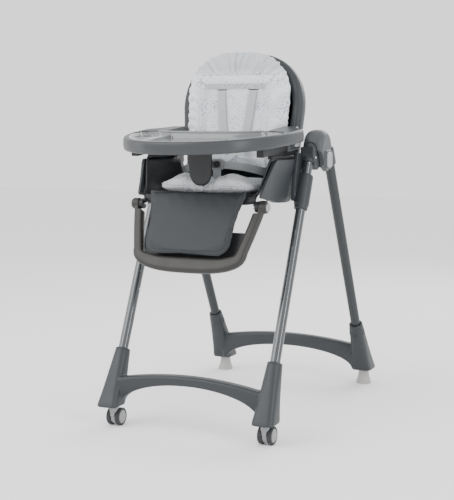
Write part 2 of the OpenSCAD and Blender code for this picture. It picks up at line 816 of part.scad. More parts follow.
module crotch_post() {
    color(dark) on_tray() translate([0, -150, 0]) rotate([90, 0, 0]) translate([0, 0, -6]) {
        difference() {
            union() {
                translate([-post_w / 2, -92, 0]) cube([post_w, 92 - tray_h, 12]);
                translate([0, -92, 0]) cylinder(r = post_w / 2, h = 12);
            }
            translate([0, 0, 9]) {
                translate([-post_w / 2 + 4, -92, 0]) cube([post_w - 8, 92 - tray_h - 4, 4]);
                translate([0, -92, 0]) cylinder(r = post_w / 2 - 4, h = 4);
            }
        }
    }
}

button_at = 34;
module tray_button() {
    color(pale) on_tray() block([rail_out + 6.2, button_at, rail_low + 2],
        [rail_out + 10, button_at + 30, rail_low + 14]);
}

// ---- Leg rest ----------------------------------------------------------------------------

leg_y = -292;
leg_z = 622;
boss_r = 16;
arm_w = 15;                     // width of an arm at its pivot boss
leg_pin_r = 5;
leg_button_r = 12;
leg_t = 24;

// The leg rest's own frame: y runs down the frame from the pivots, z out of its rear face
module on_leg() {
    translate([0, leg_y, leg_z]) rotate([-leg_lean, 0, 0]) rotate([-90, 0, 0]) children();
}

// Outline of the frame below the pivots: straight arms that taper to a rounded bar
function leg_outline(w, bar, top, n = 18) = let (
        half = leg_half - w,
        low = leg_l - bar,
        side_y = leg_l * 0.68)
    concat([[half, top], [half - 28 * (side_y - top) / side_y, side_y]],
    [for (i = [1 : n - 1]) let (a = 180 * i / n, c = cos(a))
        [(half - 28) * sign(c) * pow(abs(c), 0.7),
            side_y + (low - side_y) * pow(sin(a), 0.8)]],
    [[-half + 28 * (side_y - top) / side_y, side_y], [-half, top]]);

module leg_slab(w, bar, top, z0, z1) {
    translate([0, 0, z0]) linear_extrude(z1 - z0) polygon(leg_outline(w, bar, top));
}

module legrest_frame() {
    color([0.34, 0.34, 0.34]) on_leg() difference() {
        union() {
            difference() {
                leg_slab(0, 0, 0, -leg_t / 2, leg_t / 2);
                leg_slab(30, 44, -10, -leg_t, leg_t);
            }
            for (side = [-1, 1]) sided(side) rod_x(boss_r, leg_half - arm_w, leg_half);
            for (side = [-1, 1]) sided(side) rod_x(boss_r, leg_half, leg_half + 6);
        }
        // the arms are notched beside the seat's brackets
        for (side = [-1, 1]) sided(side) {
            rod_x(boss_r + 8, leg_half - 40, leg_half - arm_w);
            rod_x(leg_pin_r + run_gap, leg_half - arm_w - 1, leg_half - 3);
            rod_x(leg_button_r + slip_gap, leg_half - 1, leg_half + 7);
        }
    }
}

module footrest_plate() {
    color(dark) on_leg() intersection() {
        leg_slab(30.2, 44.2, -10, 4, 8);
        block([-300, 73, -20], [300, leg_l, 20]);
    }
}

pad_t = 14;
pad_top = 8;                    // middle of the pad's top corners, below the pivots
module calf_pad() {
    color([0.31, 0.33, 0.35]) on_leg()
        translate([0, 0, -leg_t / 2 - 1.5 - pad_t]) hull() for (sx = [-1, 1]) {
            translate([sx * 134, pad_top, 3]) cylinder(r = 8, h = pad_t - 6, $fn = 32);
            translate([sx * 76, leg_l - 76, 3]) cylinder(r = 34, h = pad_t - 6, $fn = 32);
            translate([sx * 134, pad_top, 0]) cylinder(r = 5, h = pad_t, $fn = 32);
            translate([sx * 76, leg_l - 76, 0]) cylinder(r = 30, h = pad_t, $fn = 32);
        }
}

bracket_x = leg_half - arm_w - 12;
bracket_w = 10.2;

module legrest_brackets() {
    color(dark) for (side = [-1, 1]) sided(side) difference() {
        union() {
            translate([0, leg_y, leg_z]) rod_x(boss_r - 2, bracket_x, bracket_x + bracket_w);
            side_plate([[leg_y - 10, leg_z + 10], [leg_y + 14, leg_z],
                [leg_y + 60, seat_z - shell_wall - 10], [leg_y - 6, seat_z - shell_wall - 10]],
                bracket_x - 8, bracket_x + bracket_w);
        }
        translate([0, leg_y, leg_z]) rod_x(leg_pin_r, bracket_x - 20, bracket_x + 20);
    }
}

module legrest_pins() {
    color(steel) for (side = [-1, 1]) sided(side)
        translate([0, leg_y, leg_z]) rod_x(leg_pin_r, bracket_x - 8, leg_half - 3.4);
}

module legrest_button() {
    color(pale) on_leg() rod_x(leg_button_r, leg_half + 3, leg_half + 11);
}

front_base();
sided(1) front_tube();  // front_tube_right
sided(-1) front_tube();  // front_tube_left
sided(1) front_hub();  // front_hub_right
sided(-1) front_hub();  // front_hub_left
hub_pivot_pins();
stop_pins();
front_screws();
rear_base();
sided(1) rear_tube();  // rear_tube_right
sided(-1) rear_tube();  // rear_tube_left
sided(1) hub_cap();  // hub_cap_right
sided(-1) hub_cap();  // hub_cap_left
rear_feet();
sided(1) fold_button();  // fold_button_right
sided(-1) fold_button();  // fold_button_left
sided(1) fold_springs();  // fold_springs_right
sided(-1) fold_springs();  // fold_springs_left
sided(1) caster_fork();  // caster_fork_right
sided(-1) caster_fork();  // caster_fork_left
sided(1) caster_tyres();  // caster_tyres_right
sided(-1) caster_tyres();  // caster_tyres_left
sided(1) caster_hubs();  // caster_hubs_right
sided(-1) caster_hubs();  // caster_hubs_left
sided(1) slider();  // slider_right
sided(-1) slider();  // slider_left
sided(1) height_lever();  // height_lever_right
sided(-1) height_lever();  // height_lever_left
seat_shell();
sided(1) side_cover();  // side_cover_right
sided(-1) side_cover();  // side_cover_left
sided(1) tray_rail();  // tray_rail_right
sided(-1) tray_rail();  // tray_rail_left
seat_cushion();
crotch_strap();
waist_straps();
buckle();
buckle_button();
backrest_shell();
backrest_rear_panel();
back_cushion();
shoulder_straps();
recline_pins();
recline_lever();
tray_base();
tray_insert();
crotch_post();
sided(1) tray_button();  // tray_button_right
sided(-1) tray_button();  // tray_button_left
legrest_brackets();
legrest_pins();
legrest_frame();
footrest_plate();
calf_pad();
sided(1) legrest_button();  // legrest_button_right
sided(-1) legrest_button();  // legrest_button_left
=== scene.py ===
"""A folding baby high chair: tubes and moulded bases, a padded seat, a tray and a leg rest.

Metres, +Z up, the chair faces -Y, and right is +X as seen from the front.
"""
import json
import math

import bmesh
import bpy
import numpy as np
from mathutils import Matrix, Vector
from mathutils.geometry import delaunay_2d_cdt
from mathutils.kdtree import KDTree


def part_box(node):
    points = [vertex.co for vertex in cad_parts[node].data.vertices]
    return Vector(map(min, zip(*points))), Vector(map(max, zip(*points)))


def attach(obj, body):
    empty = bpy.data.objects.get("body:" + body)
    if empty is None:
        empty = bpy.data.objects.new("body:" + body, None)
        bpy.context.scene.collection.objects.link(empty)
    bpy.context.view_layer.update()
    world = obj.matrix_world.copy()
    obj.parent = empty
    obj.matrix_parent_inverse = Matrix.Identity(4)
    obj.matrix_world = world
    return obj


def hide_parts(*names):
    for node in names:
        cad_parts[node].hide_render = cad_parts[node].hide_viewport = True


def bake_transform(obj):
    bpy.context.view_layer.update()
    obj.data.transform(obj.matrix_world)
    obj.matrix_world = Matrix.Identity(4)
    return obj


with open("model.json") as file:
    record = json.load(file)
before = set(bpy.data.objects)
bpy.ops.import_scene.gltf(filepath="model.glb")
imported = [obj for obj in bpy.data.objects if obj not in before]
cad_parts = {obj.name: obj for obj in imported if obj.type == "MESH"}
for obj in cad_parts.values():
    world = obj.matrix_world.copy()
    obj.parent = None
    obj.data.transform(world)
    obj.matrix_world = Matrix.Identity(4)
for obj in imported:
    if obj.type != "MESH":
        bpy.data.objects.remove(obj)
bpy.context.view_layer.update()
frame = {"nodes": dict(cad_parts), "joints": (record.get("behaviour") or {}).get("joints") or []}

# ---- Camera, lights and floor ------------------------------------------------------------
# A studio: a white floor under a bright even surround, a broad soft key from the left, two
# tall strip lights that draw the narrow highlights down the painted tubes, and a fill behind.

VIEW_TURN, VIEW_DIP = math.radians(24.68), math.radians(6.60)
CAMERA_PLACE, LENS_MM = (1.315, -2.971, 0.845), 79.07
camera = bpy.data.objects.new("camera", bpy.data.cameras.new("camera"))
bpy.context.scene.collection.objects.link(camera)
camera.data.lens = LENS_MM
camera.data.clip_end = 50
camera.matrix_world = (
    Matrix.Translation(CAMERA_PLACE)
    @ Matrix.Rotation(VIEW_TURN, 4, "Z")
    @ Matrix.Rotation(math.pi / 2 - VIEW_DIP, 4, "X")
)
bpy.context.scene.camera = camera


def area_light(name, place, target, width, height, watts):
    """An area light at place, turned to face target."""
    light = bpy.data.objects.new(name, bpy.data.lights.new(name, "AREA"))
    light.data.shape = "RECTANGLE"
    light.data.size, light.data.size_y = width, height
    light.data.energy = watts
    light.location = place
    light.rotation_euler = (Vector(target) - Vector(place)).to_track_quat("-Z", "Y").to_euler()
    bpy.context.scene.collection.objects.link(light)


area_light("key", (-1.6, -2.6, 2.6), (0, 0, 0.6), 2.2, 2.2, 72)
area_light("strip_right", (2.6, -1.2, 1.3), (0, 0, 0.6), 0.35, 2.4, 34)
area_light("strip_left", (-2.4, -1.0, 1.2), (0, 0, 0.6), 0.35, 2.4, 14)
area_light("back_fill", (0.6, 2.6, 2.2), (0, 0, 0.7), 2.0, 1.6, 40)

world = bpy.data.worlds.new("studio")
world.use_nodes = True
world.node_tree.nodes["Background"].inputs["Color"].default_value = (1, 1, 1, 1)
world.node_tree.nodes["Background"].inputs["Strength"].default_value = 1.5
bpy.context.scene.world = world


class Wire:
    """A shader socket that does sums: + - and * on it add Math nodes to its tree."""

    def __init__(self, tree, socket):
        self.tree = tree
        self.socket = socket

    def sum(self, operation, first, second):
        node = self.tree.nodes.new("ShaderNodeMath")
        node.operation = operation
        for place, value in zip(node.inputs, (first, second)):
            if isinstance(value, Wire):
                self.tree.links.new(value.socket, place)
            else:
                place.default_value = value
        return Wire(self.tree, node.outputs[0])

    def __add__(self, other):
        return self.sum("ADD", self, other)

    def __sub__(self, other):
        return self.sum("SUBTRACT", self, other)

    def __rsub__(self, other):
        return self.sum("SUBTRACT", other, self)

    def __mul__(self, other):
        return self.sum("MULTIPLY", self, other)

    __radd__ = __add__
    __rmul__ = __mul__


class Finish:
    """A material being built around one Principled shader."""

    def __init__(self, name, colour, roughness, **shader):
        self.colour = colour
        self.material = bpy.data.materials.new(name)
        self.material.use_nodes = True
        self.tree = self.material.node_tree
        self.shader = self.tree.nodes["Principled BSDF"]
        self.shader.inputs["Base Color"].default_value = (*colour, 1)
        self.shader.inputs["Roughness"].default_value = roughness
        for socket, value in shader.items():
            self.shader.inputs[socket.replace("_", " ")].default_value = value
        self.place = self.node("ShaderNodeTexCoord", {}, {}, "Object")

    def node(self, kind, settings, sockets, out=0):
        """Adds a node of this kind: its settings first, then the values or wires of its sockets."""
        node = self.tree.nodes.new(kind)
        for key, value in settings.items():
            if key == "stops":
                ramp = node.color_ramp.elements
                while len(ramp) < len(value):
                    ramp.new(0.5)
                for stop, (at, colour) in zip(ramp, value):
                    stop.position = at
                    stop.color = (*colour, 1)
            else:
                setattr(node, key, value)
        for key, value in sockets.items():
            if isinstance(value, Wire):
                self.tree.links.new(value.socket, node.inputs[key])
            else:
                node.inputs[key].default_value = value
        return Wire(self.tree, node.outputs[out])

    def feed(self, socket, wire):
        """Links a varying value to one of the shader's own sockets."""
        self.tree.links.new(wire.socket, self.shader.inputs[socket])

    def noise(self, scale, detail=2.0, vector=None):
        """A cloudy value from 0 to 1, in object coordinates unless told otherwise."""
        return self.node("ShaderNodeTexNoise", {}, {
            "Vector": vector or self.place, "Scale": scale, "Detail": detail})

    def stretched(self, scale, turn=(0, 0, 0)):
        """Object coordinates scaled by a different amount along each axis."""
        return self.node("ShaderNodeMapping", {}, {
            "Vector": self.place, "Scale": scale, "Rotation": turn})

    def shades(self, mask, low, high):
        """A colour that goes from low to high as mask goes from 0 to 1."""
        low, high = (end if isinstance(end, Wire) else (*end, 1) for end in (low, high))
        return self.node("ShaderNodeMix", {"data_type": "RGBA"}, {0: mask, 6: low, 7: high}, 2)

    def mottle(self, mask, low, high):
        """Base colour from low to high times the finish's own colour as mask goes from 0 to 1."""
        self.feed("Base Color", self.shades(mask, *([c * by for c in self.colour] for by in (low, high))))

    def bump(self, height, strength, distance):
        """Raises the surface by a varying height, up to a distance in metres."""
        self.feed("Normal", self.node("ShaderNodeBump", {}, {
            "Height": height, "Strength": strength, "Distance": distance}))


floor_paint = Finish("studio_floor", (0.93, 0.93, 0.93), 0.85)
floor_mesh = bpy.data.meshes.new("floor")
floor_mesh.from_pydata([(-9, -9, 0), (9, -9, 0), (9, 9, 0), (-9, 9, 0)], [], [(0, 1, 2, 3)])
floor_mesh.materials.append(floor_paint.material)
floor = bpy.data.objects.new("floor", floor_mesh)
bpy.context.scene.collection.objects.link(floor)

# ---- Front base --------------------------------------------------------------------------
# One polypropylene moulding: two flared sockets for the front tubes, joined by a low arched
# bar. It is injection moulded with a fine spark-eroded texture.

SLATE = (0.030, 0.034, 0.038)


def moulded(name, colour, roughness=0.42, grain=0.12):
    """Injection-moulded plastic: a fine even grain, faint flow marks and a satin gloss that
    varies a little over the surface."""
    paint = Finish(name, colour, roughness, Specular_IOR_Level=0.32)
    paint.mottle(paint.noise(9.0, 3.0), 0.90, 1.10)
    paint.feed("Roughness", paint.noise(30.0, 3.0) * 0.16 + (roughness - 0.08))
    paint.bump(paint.noise(1500.0, 2.0) + paint.noise(420.0, 1.0) * 0.5, grain, 0.0004)
    return paint.material


slate_plastic = moulded("slate_plastic", SLATE)


def signed_power(value, power):
    """The size of a value to a power, with the value's own sign."""
    return np.sign(value) * np.abs(value) ** power


def squircle(count, power=2):
    """Points round a unit superellipse: the cosine and sine of a full turn, each to the power
    2 / power with its sign kept, so 2 gives a circle and more gives a squarer shape."""
    turn = np.linspace(0, 2 * np.pi, count, endpoint=False)
    return signed_power(np.stack([np.cos(turn), np.sin(turn)], 1), 2 / power)


def skin(rings):
    """Vertices and faces of a closed form through rings, each of as many points: quads between
    neighbouring rings, and one flat face on each end."""
    rings = np.array(rings)
    count, around = rings.shape[:2]
    corner = np.arange(count * around).reshape(count, around)
    after = np.roll(corner, -1, 1)
    quads = np.stack([corner[:-1], after[:-1], after[1:], corner[1:]], -1).reshape(-1, 4)
    ends = [corner[0][::-1].tolist(), corner[-1].tolist()]
    return rings.reshape(-1, 3), quads.tolist() + ends


def piece(name, parts, material, sharp=40):
    """One object from a list of (vertices, faces), with its normals made to face outwards."""
    points, faces, start = [], [], 0
    for vertices, polygons in parts:
        points.append(np.asarray(vertices, float))
        faces += [[i + start for i in polygon] for polygon in polygons]
        start += len(vertices)
    mesh = bpy.data.meshes.new(name)
    mesh.from_pydata(np.concatenate(points).tolist(), [], faces)
    work = bmesh.new()
    work.from_mesh(mesh)
    bmesh.ops.remove_doubles(work, verts=work.verts, dist=1e-6)
    bmesh.ops.recalc_face_normals(work, faces=work.faces)
    work.to_mesh(mesh)
    work.free()
    mesh.materials.append(material)
    mesh.shade_smooth()
    mesh.set_sharp_from_angle(angle=math.radians(sharp))
    made = bpy.data.objects.new(name, mesh)
    bpy.context.scene.collection.objects.link(made)
    return made


def settle(made):
    """Applies every modifier on a piece, so that its mesh is final."""
    bpy.context.view_layer.update()
    final = bpy.data.meshes.new_from_object(made.evaluated_get(bpy.context.evaluated_depsgraph_get()))
    made.modifiers.clear()
    made.data = final


def fused(name, parts, material, voxel, passes=6):
    """One moulding from overlapping closed parts: a voxel skin around them all, relaxed a few
    times, which leaves small fillets where they meet."""
    made = piece(name, parts, material)
    remesh = made.modifiers.new("skin", "REMESH")
    remesh.mode = "VOXEL"
    remesh.voxel_size = voxel
    relax = made.modifiers.new("relax", "SMOOTH")
    relax.factor = 0.5
    relax.iterations = passes
    settle(made)
    made.data.shade_smooth()
    return made


def fitted(made, body, node=None):
    """Says which body a piece rides on and, where it stands for a node, which one: that node is
    hidden."""
    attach(made, body)
    if node:
        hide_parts(node)
    return made


def joint(name):
    return next(j for j in frame["joints"] if j["name"] == name)


def middle(node):
    low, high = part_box(node)
    return np.array((low + high) / 2)


front_up = np.array(joint("seat_height")["axis"])
pivot = np.array(joint("rear_fold")["pos_m"])


def leg_line(node, up):
    """The centre line of a leg tube: its point at a height, with the tube's radius."""
    centre = middle(node)
    low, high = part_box(node)
    radius = (high.x - low.x) / 2
    return lambda z: centre + up * ((z - centre[2]) / up[2]), radius


def lean_of(node, radius):
    """Unit vector up a tube that leans in the YZ plane, from its box: the box is longer than the
    tube's axis by the radius times the sine or cosine of the lean, which is solved in a few
    turns."""
    low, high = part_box(node)
    wide, tall = high.y - low.y, high.z - low.z
    lean = math.atan2(wide, tall)
    for _ in range(20):
        lean = math.atan2(wide - 2 * radius * math.cos(lean), tall - 2 * radius * math.sin(lean))
    return lean


rear_radius = (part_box("rear_tube_right")[1].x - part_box("rear_tube_right")[0].x) / 2
rear_tilt = lean_of("rear_tube_right", rear_radius)
rear_up = np.array([0, -math.sin(rear_tilt), math.cos(rear_tilt)])


def socket_rings(line, up, radius, foot, size, top_z):
    """A flared leg socket: rounded-square at its foot, round at its mouth. Its half widths go
    from the foot's to the mouth's as the height to the power 0.62, so it flares late, and it
    draws in a little at the very foot."""
    rings = []
    for t in np.linspace(0, 1, 26):
        blend = t ** 0.62
        shape = squircle(56, 5.0 - 3.0 * blend)
        swell = 1 - 0.10 * np.exp(-((t / 0.035) ** 2))
        half = (np.array(size) / 2 * swell) * (1 - blend) + (radius + 0.007) * blend
        centre = np.array(foot) * (1 - t) + line(top_z) * t
        across = np.array([1.0, 0, 0])
        along = np.array([0, 1.0, 0]) * (1 - t) + np.cross(up, across) * t
        along /= np.linalg.norm(along)
        rings.append(centre + shape[:, :1] * half[0] * across + shape[:, 1:] * half[1] * along)
    return skin(rings)


def arch_rings(end, y, low_z, crown, drop, under, depth):
    """An arched bar: at each x its top is a shallow parabola and its underside half an ellipse,
    and its section is a rounded rectangle."""
    x = np.linspace(-end, end, 90)
    top = crown - drop * (x / end) ** 2
    bottom = low_z + (under - low_z) * np.sqrt(np.clip(1 - (x / (end - 0.012)) ** 2, 0, 1))
    shape = squircle(40, 4.5)
    rings = np.zeros((len(x), len(shape), 3))
    rings[:, :, 0] = x[:, None]
    rings[:, :, 1] = y + shape[None, :, 0] * depth / 2
    rings[:, :, 2] = ((top + bottom) / 2)[:, None] + shape[None, :, 1] * ((top - bottom) / 2)[:, None]
    return skin(rings)


def mirrored(part):
    """A part moved to the chair's other side, with its faces turned round again."""
    vertices, faces = part
    return np.asarray(vertices) * (-1, 1, 1), [f[::-1] for f in faces]


def both(part):
    return [part, mirrored(part)]


front_line, front_radius = leg_line("front_tube_right", front_up)
base_low, base_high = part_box("front_base")
# How far the rounded lip's middle lies below a socket's top, and the bases' voxel size.
LIP_DROP, BASE_SKIN = 0.006, 0.0022
front_foot = (base_high.x - 0.0335, base_low.y + 0.038, base_low.z)
front_mouth = base_high.z - LIP_DROP
front_socket = socket_rings(front_line, front_up, front_radius, front_foot, (0.068, 0.076), front_mouth)
front_arch = arch_rings(front_line(0)[0] - 0.012, front_line(0.11)[1], base_low.z + 0.001,
                        0.161, 0.022, 0.133, 0.036)
front_base = fused("front_base_moulding", both(front_socket) + [front_arch],
                   slate_plastic, BASE_SKIN)
fitted(front_base, "front_frame", "front_base")

# ---- Rear base ---------------------------------------------------------------------------
# The same sort of moulding behind, a little lower and wider, with three grip lines moulded
# round the mouth of each socket.

rear_line, _ = leg_line("rear_tube_right", rear_up)
rear_low, rear_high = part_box("rear_base")
rear_foot = (rear_high.x - 0.035, rear_high.y - 0.042, rear_low.z)
rear_mouth = rear_high.z - LIP_DROP
rear_socket = socket_rings(rear_line, rear_up, rear_radius, rear_foot, (0.070, 0.084), rear_mouth)
rear_arch = arch_rings(rear_line(0)[0] - 0.012, rear_line(0.11)[1], rear_low.z + 0.003,
                       0.152, 0.020, 0.111, 0.036)
rear_base = fused("rear_base_moulding", both(rear_socket) + [rear_arch],
                  slate_plastic, BASE_SKIN)
fitted(rear_base, "rear_frame", "rear_base")


def ring_faces(count, around):
    """Quads of a closed loop of count sections, each of around points."""
    corner = np.arange(count * around).reshape(count, around)
    after = np.roll(corner, -1, 1)
    quads = np.stack([corner, after, np.roll(after, -1, 0), np.roll(corner, -1, 0)], -1)
    return quads.reshape(-1, 4).tolist()


def hoop(centre, axis, radius, wire, count=48, around=10):
    """A ring of round wire: points at the radius round the axis, with the wire's circle set
    across each."""
    axis = np.array(axis, float) / np.linalg.norm(axis)
    side = np.cross(axis, (0, 0, 1.0)) if abs(axis[2]) < 0.9 else np.array([1.0, 0, 0])
    side /= np.linalg.norm(side)
    other = np.cross(axis, side)
    out = squircle(count) @ np.array([side, other])
    across, lift = wire * squircle(around).T
    rings = np.array(centre) + out[:, None] * (radius + across)[:, None] + axis * lift[:, None]
    return rings.reshape(-1, 3), ring_faces(count, around)


grips = []
for height in (0.178, 0.186, 0.194):
    flare = (0.2 - height) * 0.10
    grips += both(hoop(rear_line(height), rear_up, rear_radius + 0.0072 + flare, 0.0011))


def mouth_lip(line, up, radius, mouth):
    """The rounded lip at a pair of sockets' mouths."""
    return both(hoop(line(mouth), up, radius + 0.0035, 0.0036))


grips += mouth_lip(rear_line, rear_up, rear_radius, rear_mouth)
fitted(piece("rear_socket_ribs", grips, slate_plastic), "rear_frame")
lips = mouth_lip(front_line, front_up, front_radius, front_mouth)
fitted(piece("front_socket_lips", lips, slate_plastic), "front_frame")

# ---- Tubes, pins and screws --------------------------------------------------------------
# Round steel tubes, powder coated: the front pair in a high gloss, because the seat slides
# on them, and the rear pair in satin. Pins and screws are bright zinc-plated steel.


def powder_coat(name, colour, roughness, gloss):
    """Powder coat on steel: a faint orange-peel swell under a clear gloss, with thin rub marks
    along the tube."""
    paint = Finish(name, colour, roughness, Metallic=0.35, Coat_Weight=gloss, Coat_Roughness=0.06)
    rubs = paint.noise(1.0, 2.0, paint.stretched((900, 60, 25)))
    paint.mottle(paint.noise(14.0), 0.93, 1.07)
    paint.feed("Roughness", rubs * 0.14 + (roughness - 0.07))
    paint.bump(paint.noise(260.0, 1.0), 0.06, 0.0003)
    return paint.material


def repaint(material, *nodes):
    """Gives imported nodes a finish. Their shapes and shading stay as they were packed."""
    for node in nodes:
        mesh = frame["nodes"][node].data
        mesh.materials.clear()
        mesh.materials.append(material)


repaint(powder_coat("front_tube_paint", (0.040, 0.045, 0.050), 0.24, 1.0),
        "front_tube_right", "front_tube_left")
repaint(powder_coat("rear_tube_paint", (0.030, 0.033, 0.036), 0.45, 0.05),
        "rear_tube_right", "rear_tube_left")


def zinc(name):
    """Bright zinc plate: metallic, with cloudy roughness."""
    paint = Finish(name, (0.62, 0.63, 0.64), 0.3, Metallic=1.0)
    paint.feed("Roughness", paint.noise(220.0, 3.0) * 0.25 + 0.18)
    paint.bump(paint.noise(900.0), 0.05, 0.0002)
    return paint.material


repaint(zinc("zinc"), "hub_pivot_pins", "stop_pins", "front_screws", "recline_pins",
        "legrest_pins", "fold_springs_right", "fold_springs_left")

# ---- Rear feet and casters ---------------------------------------------------------------
# Feet of pale grey thermoplastic rubber, and twin-wheel casters: a polypropylene fork and
# wheel centres in a milky grey, with soft dark tyres.


def rubber(name, colour):
    """Matt rubber: a dry bloom that lightens it in patches, and a pebbled surface."""
    paint = Finish(name, colour, 0.7, Specular_IOR_Level=0.3)
    bloom = paint.noise(60.0, 4.0)
    paint.mottle(bloom, 0.88, 1.08)
    paint.feed("Roughness", bloom * 0.2 + 0.6)
    paint.bump(paint.noise(1100.0, 2.0), 0.2, 0.0004)
    return paint.material


def milky(name):
    """Milky polypropylene: smooth, slightly soft to the light, with a faint swirl."""
    paint = Finish(name, (0.235, 0.24, 0.245), 0.3, Subsurface_Weight=0.15, Subsurface_Scale=0.004)
    swirl = paint.noise(70.0, 3.0)
    paint.feed("Base Color", paint.shades(swirl, (0.20, 0.205, 0.21), (0.265, 0.27, 0.275)))
    paint.feed("Roughness", paint.noise(150.0) * 0.14 + 0.22)
    paint.bump(paint.noise(500.0), 0.05, 0.0003)
    return paint.material


repaint(rubber("foot_rubber", (0.37, 0.365, 0.35)), "rear_feet")
repaint(rubber("tyre_rubber", (0.034, 0.036, 0.039)), "caster_tyres_right", "caster_tyres_left")
repaint(milky("milky_plastic"), "caster_fork_right", "caster_fork_left",
        "caster_hubs_right", "caster_hubs_left")

# ---- Front halves of the fold hubs -------------------------------------------------------
# Each is a glass-filled nylon moulding: a collar that grips the front tube, and a round-edged
# web behind it that turns inside the cap. One cross-head screw clamps the web.

HUB_IN, HUB_OUT, HUB_SKIN = 0.206, 0.266, 0.0014
WEB_CENTRE, WEB_R = (-0.095, -0.061), 0.066


def turned(points, origin, degrees):
    """Points turned about the X axis by an angle, then moved to an origin."""
    c, s = math.cos(math.radians(degrees)), math.sin(math.radians(degrees))
    points = np.asarray(points, float)
    return np.stack([points[..., 0], points[..., 1] * c - points[..., 2] * s,
                     points[..., 1] * s + points[..., 2] * c], -1) + np.array(origin)


def lathe(axis_point, up, stations, around=48):
    """Rings round an axis: stations is a list of (distance along the axis, radius)."""
    up = np.array(up) / np.linalg.norm(up)
    side = np.cross(up, (0, 1.0, 0) if abs(up[0]) > 0.7 else (1.0, 0, 0))
    side /= np.linalg.norm(side)
    other = np.cross(up, side)
    circle = squircle(around) @ np.array([side, other])
    return skin([np.array(axis_point) + up * s + circle * r for s, r in stations])


def ring_at(outline, axis, level):
    """A flat outline set square to one axis, 0 to 2 for X to Z, at a level along it."""
    return np.insert(outline, axis, level, axis=1)


def side_form(outline, stations):
    """A closed form across the chair: outline holds [y, z] points, and stations is a list of
    (x, scale), each a copy of the outline scaled about its middle."""
    outline = np.asarray(outline, float)
    centre = outline.mean(0)
    return skin([ring_at(centre + (outline - centre) * scale, 0, x) for x, scale in stations])


def from_pivot(part):
    """A part whose y and z are measured from the fold's pivot, moved to its place."""
    vertices, faces = part
    return np.asarray(vertices) + (0, pivot[1], pivot[2]), faces


def carved(made, *parts):
    """Cuts closed parts out of a piece, in turn."""
    cutters = [piece(f"cutter_{number}", [part], made.data.materials[0])
               for number, part in enumerate(parts)]
    for cutter in cutters:
        cut = made.modifiers.new(cutter.name, "BOOLEAN")
        cut.object = cutter
        cut.solver = "EXACT"
    settle(made)
    for cutter in cutters:
        bpy.data.objects.remove(cutter)
    return made


def shaded(made, sharp=35):
    """Smooth shading, with edges kept crisp above an angle."""
    made.data.shade_smooth()
    made.data.set_sharp_from_angle(angle=math.radians(sharp))
    return made


SIDES = (("right", 1), ("left", -1))


def on_side(side, *parts):
    """Parts made for the right, as they are or mirrored for the left."""
    return [part if side > 0 else mirrored(part) for part in parts]


def pair(name, parts, material, body, node=None, sharp=50):
    """A piece on the right and its mirror on the left. A star in the name of the body or node
    stands for the side."""
    for word, side in SIDES:
        made = piece(f"{name}_{word}", on_side(side, *parts), material, sharp)
        fitted(made, body.replace("*", word), node and node.replace("*", word))


collar_z = 0.734
bend = np.radians(np.linspace(75, 4, 26))
web_edge = np.stack([WEB_CENTRE[0] + WEB_R * np.cos(bend), WEB_CENTRE[1] + WEB_R * np.sin(bend)], 1)
web_outline = np.concatenate([web_edge, [(-0.044, -0.063), (-0.066, -0.047), (-0.080, -0.020)]])
collar_foot = front_line(collar_z)
collar = lathe(collar_foot, front_up, [
    (-0.0005, 0.0150), (0.0, 0.0178), (0.0015, 0.0192), (0.004, 0.0195), (0.005, 0.0190),
    (0.006, 0.0195), (0.036, 0.0200), (0.044, 0.0192), (0.050, 0.0170), (0.0545, 0.0132),
    (0.0570, 0.0085), (0.0578, 0.0030)])
web = from_pivot(side_form(web_outline, [
    (0.2135, 0.97), (0.2150, 1.0), (0.2520, 1.0), (0.2535, 0.975)]))
link = from_pivot(side_form(
    np.array([(-0.060, -0.020), (-0.020, 0.004), (-0.004, -0.020), (-0.040, -0.046)]),
    [(0.2185, 1), (0.2455, 1)]))
for word, side in SIDES:
    made = fused(f"front_hub_moulding_{word}", on_side(side, collar, web, link), slate_plastic, HUB_SKIN, 5)
    fitted(made, "front_frame", f"front_hub_{word}")
screw = lathe((0.2530, pivot[1] - 0.060, pivot[2] - 0.027), (1.0, 0, 0.0001), [
    (-0.001, 0.0040), (0.0008, 0.0040), (0.0016, 0.0034), (0.0018, 0.0014), (0.0006, 0.0008)])
pair("front_hub_screw", [screw], bpy.data.materials["zinc"], "front_frame", sharp=40)

# ---- Hub caps ----------------------------------------------------------------------------
# The rear half of each hub: a domed cap over the pivot in the same nylon, moulded a shade
# lighter, with a round gap in front where the collar and web turn, and a socket for the
# rear tube. The bezel round the release button stands proud of it.

cap_plastic = moulded("cap_plastic", (0.058, 0.063, 0.068), 0.38)


def disc_hull(discs, count=96):
    """The outline that wraps round discs, each (y, z, radius): in every direction it takes the
    disc that reaches furthest."""
    way = squircle(count)
    discs = np.asarray(discs, float)
    reach = way @ discs[:, :2].T + discs[:, 2]
    best = discs[reach.argmax(1)]
    return best[:, :2] + best[:, 2:] * way


def domed_cap():
    """Rings of the wrapped outline across the cap. The upper disc draws in towards both faces
    like a superellipse, so the top is a dome, and the lower disc keeps nearly its full size."""
    rings = []
    for t in np.linspace(-1, 1, 41):
        draw = 1 - max(0.0, 1 - abs(t) ** 2.5) ** (1 / 2.5)
        flat = disc_hull([(0, 0, 0.0500 - 0.021 * draw), (-0.020, -0.020, 0.036 - 0.012 * draw),
                          (0.006, -0.042, 0.0275 - 0.004 * draw)])
        rings.append(ring_at(flat, 0, (HUB_IN + HUB_OUT) / 2 + t * (HUB_OUT - HUB_IN) / 2))
    return from_pivot(skin(rings))


rear_collar = lathe(rear_line(0.726), rear_up, [
    (-0.0005, 0.0150), (0.0, 0.0182), (0.002, 0.0198), (0.006, 0.0200), (0.050, 0.0200)])
button_mid = (0.004, -0.035)


def squared(centre, half_y, half_z, power, count=64):
    """A superellipse outline in the YZ plane."""
    return np.array(centre) + squircle(count, power) * (half_y, half_z)


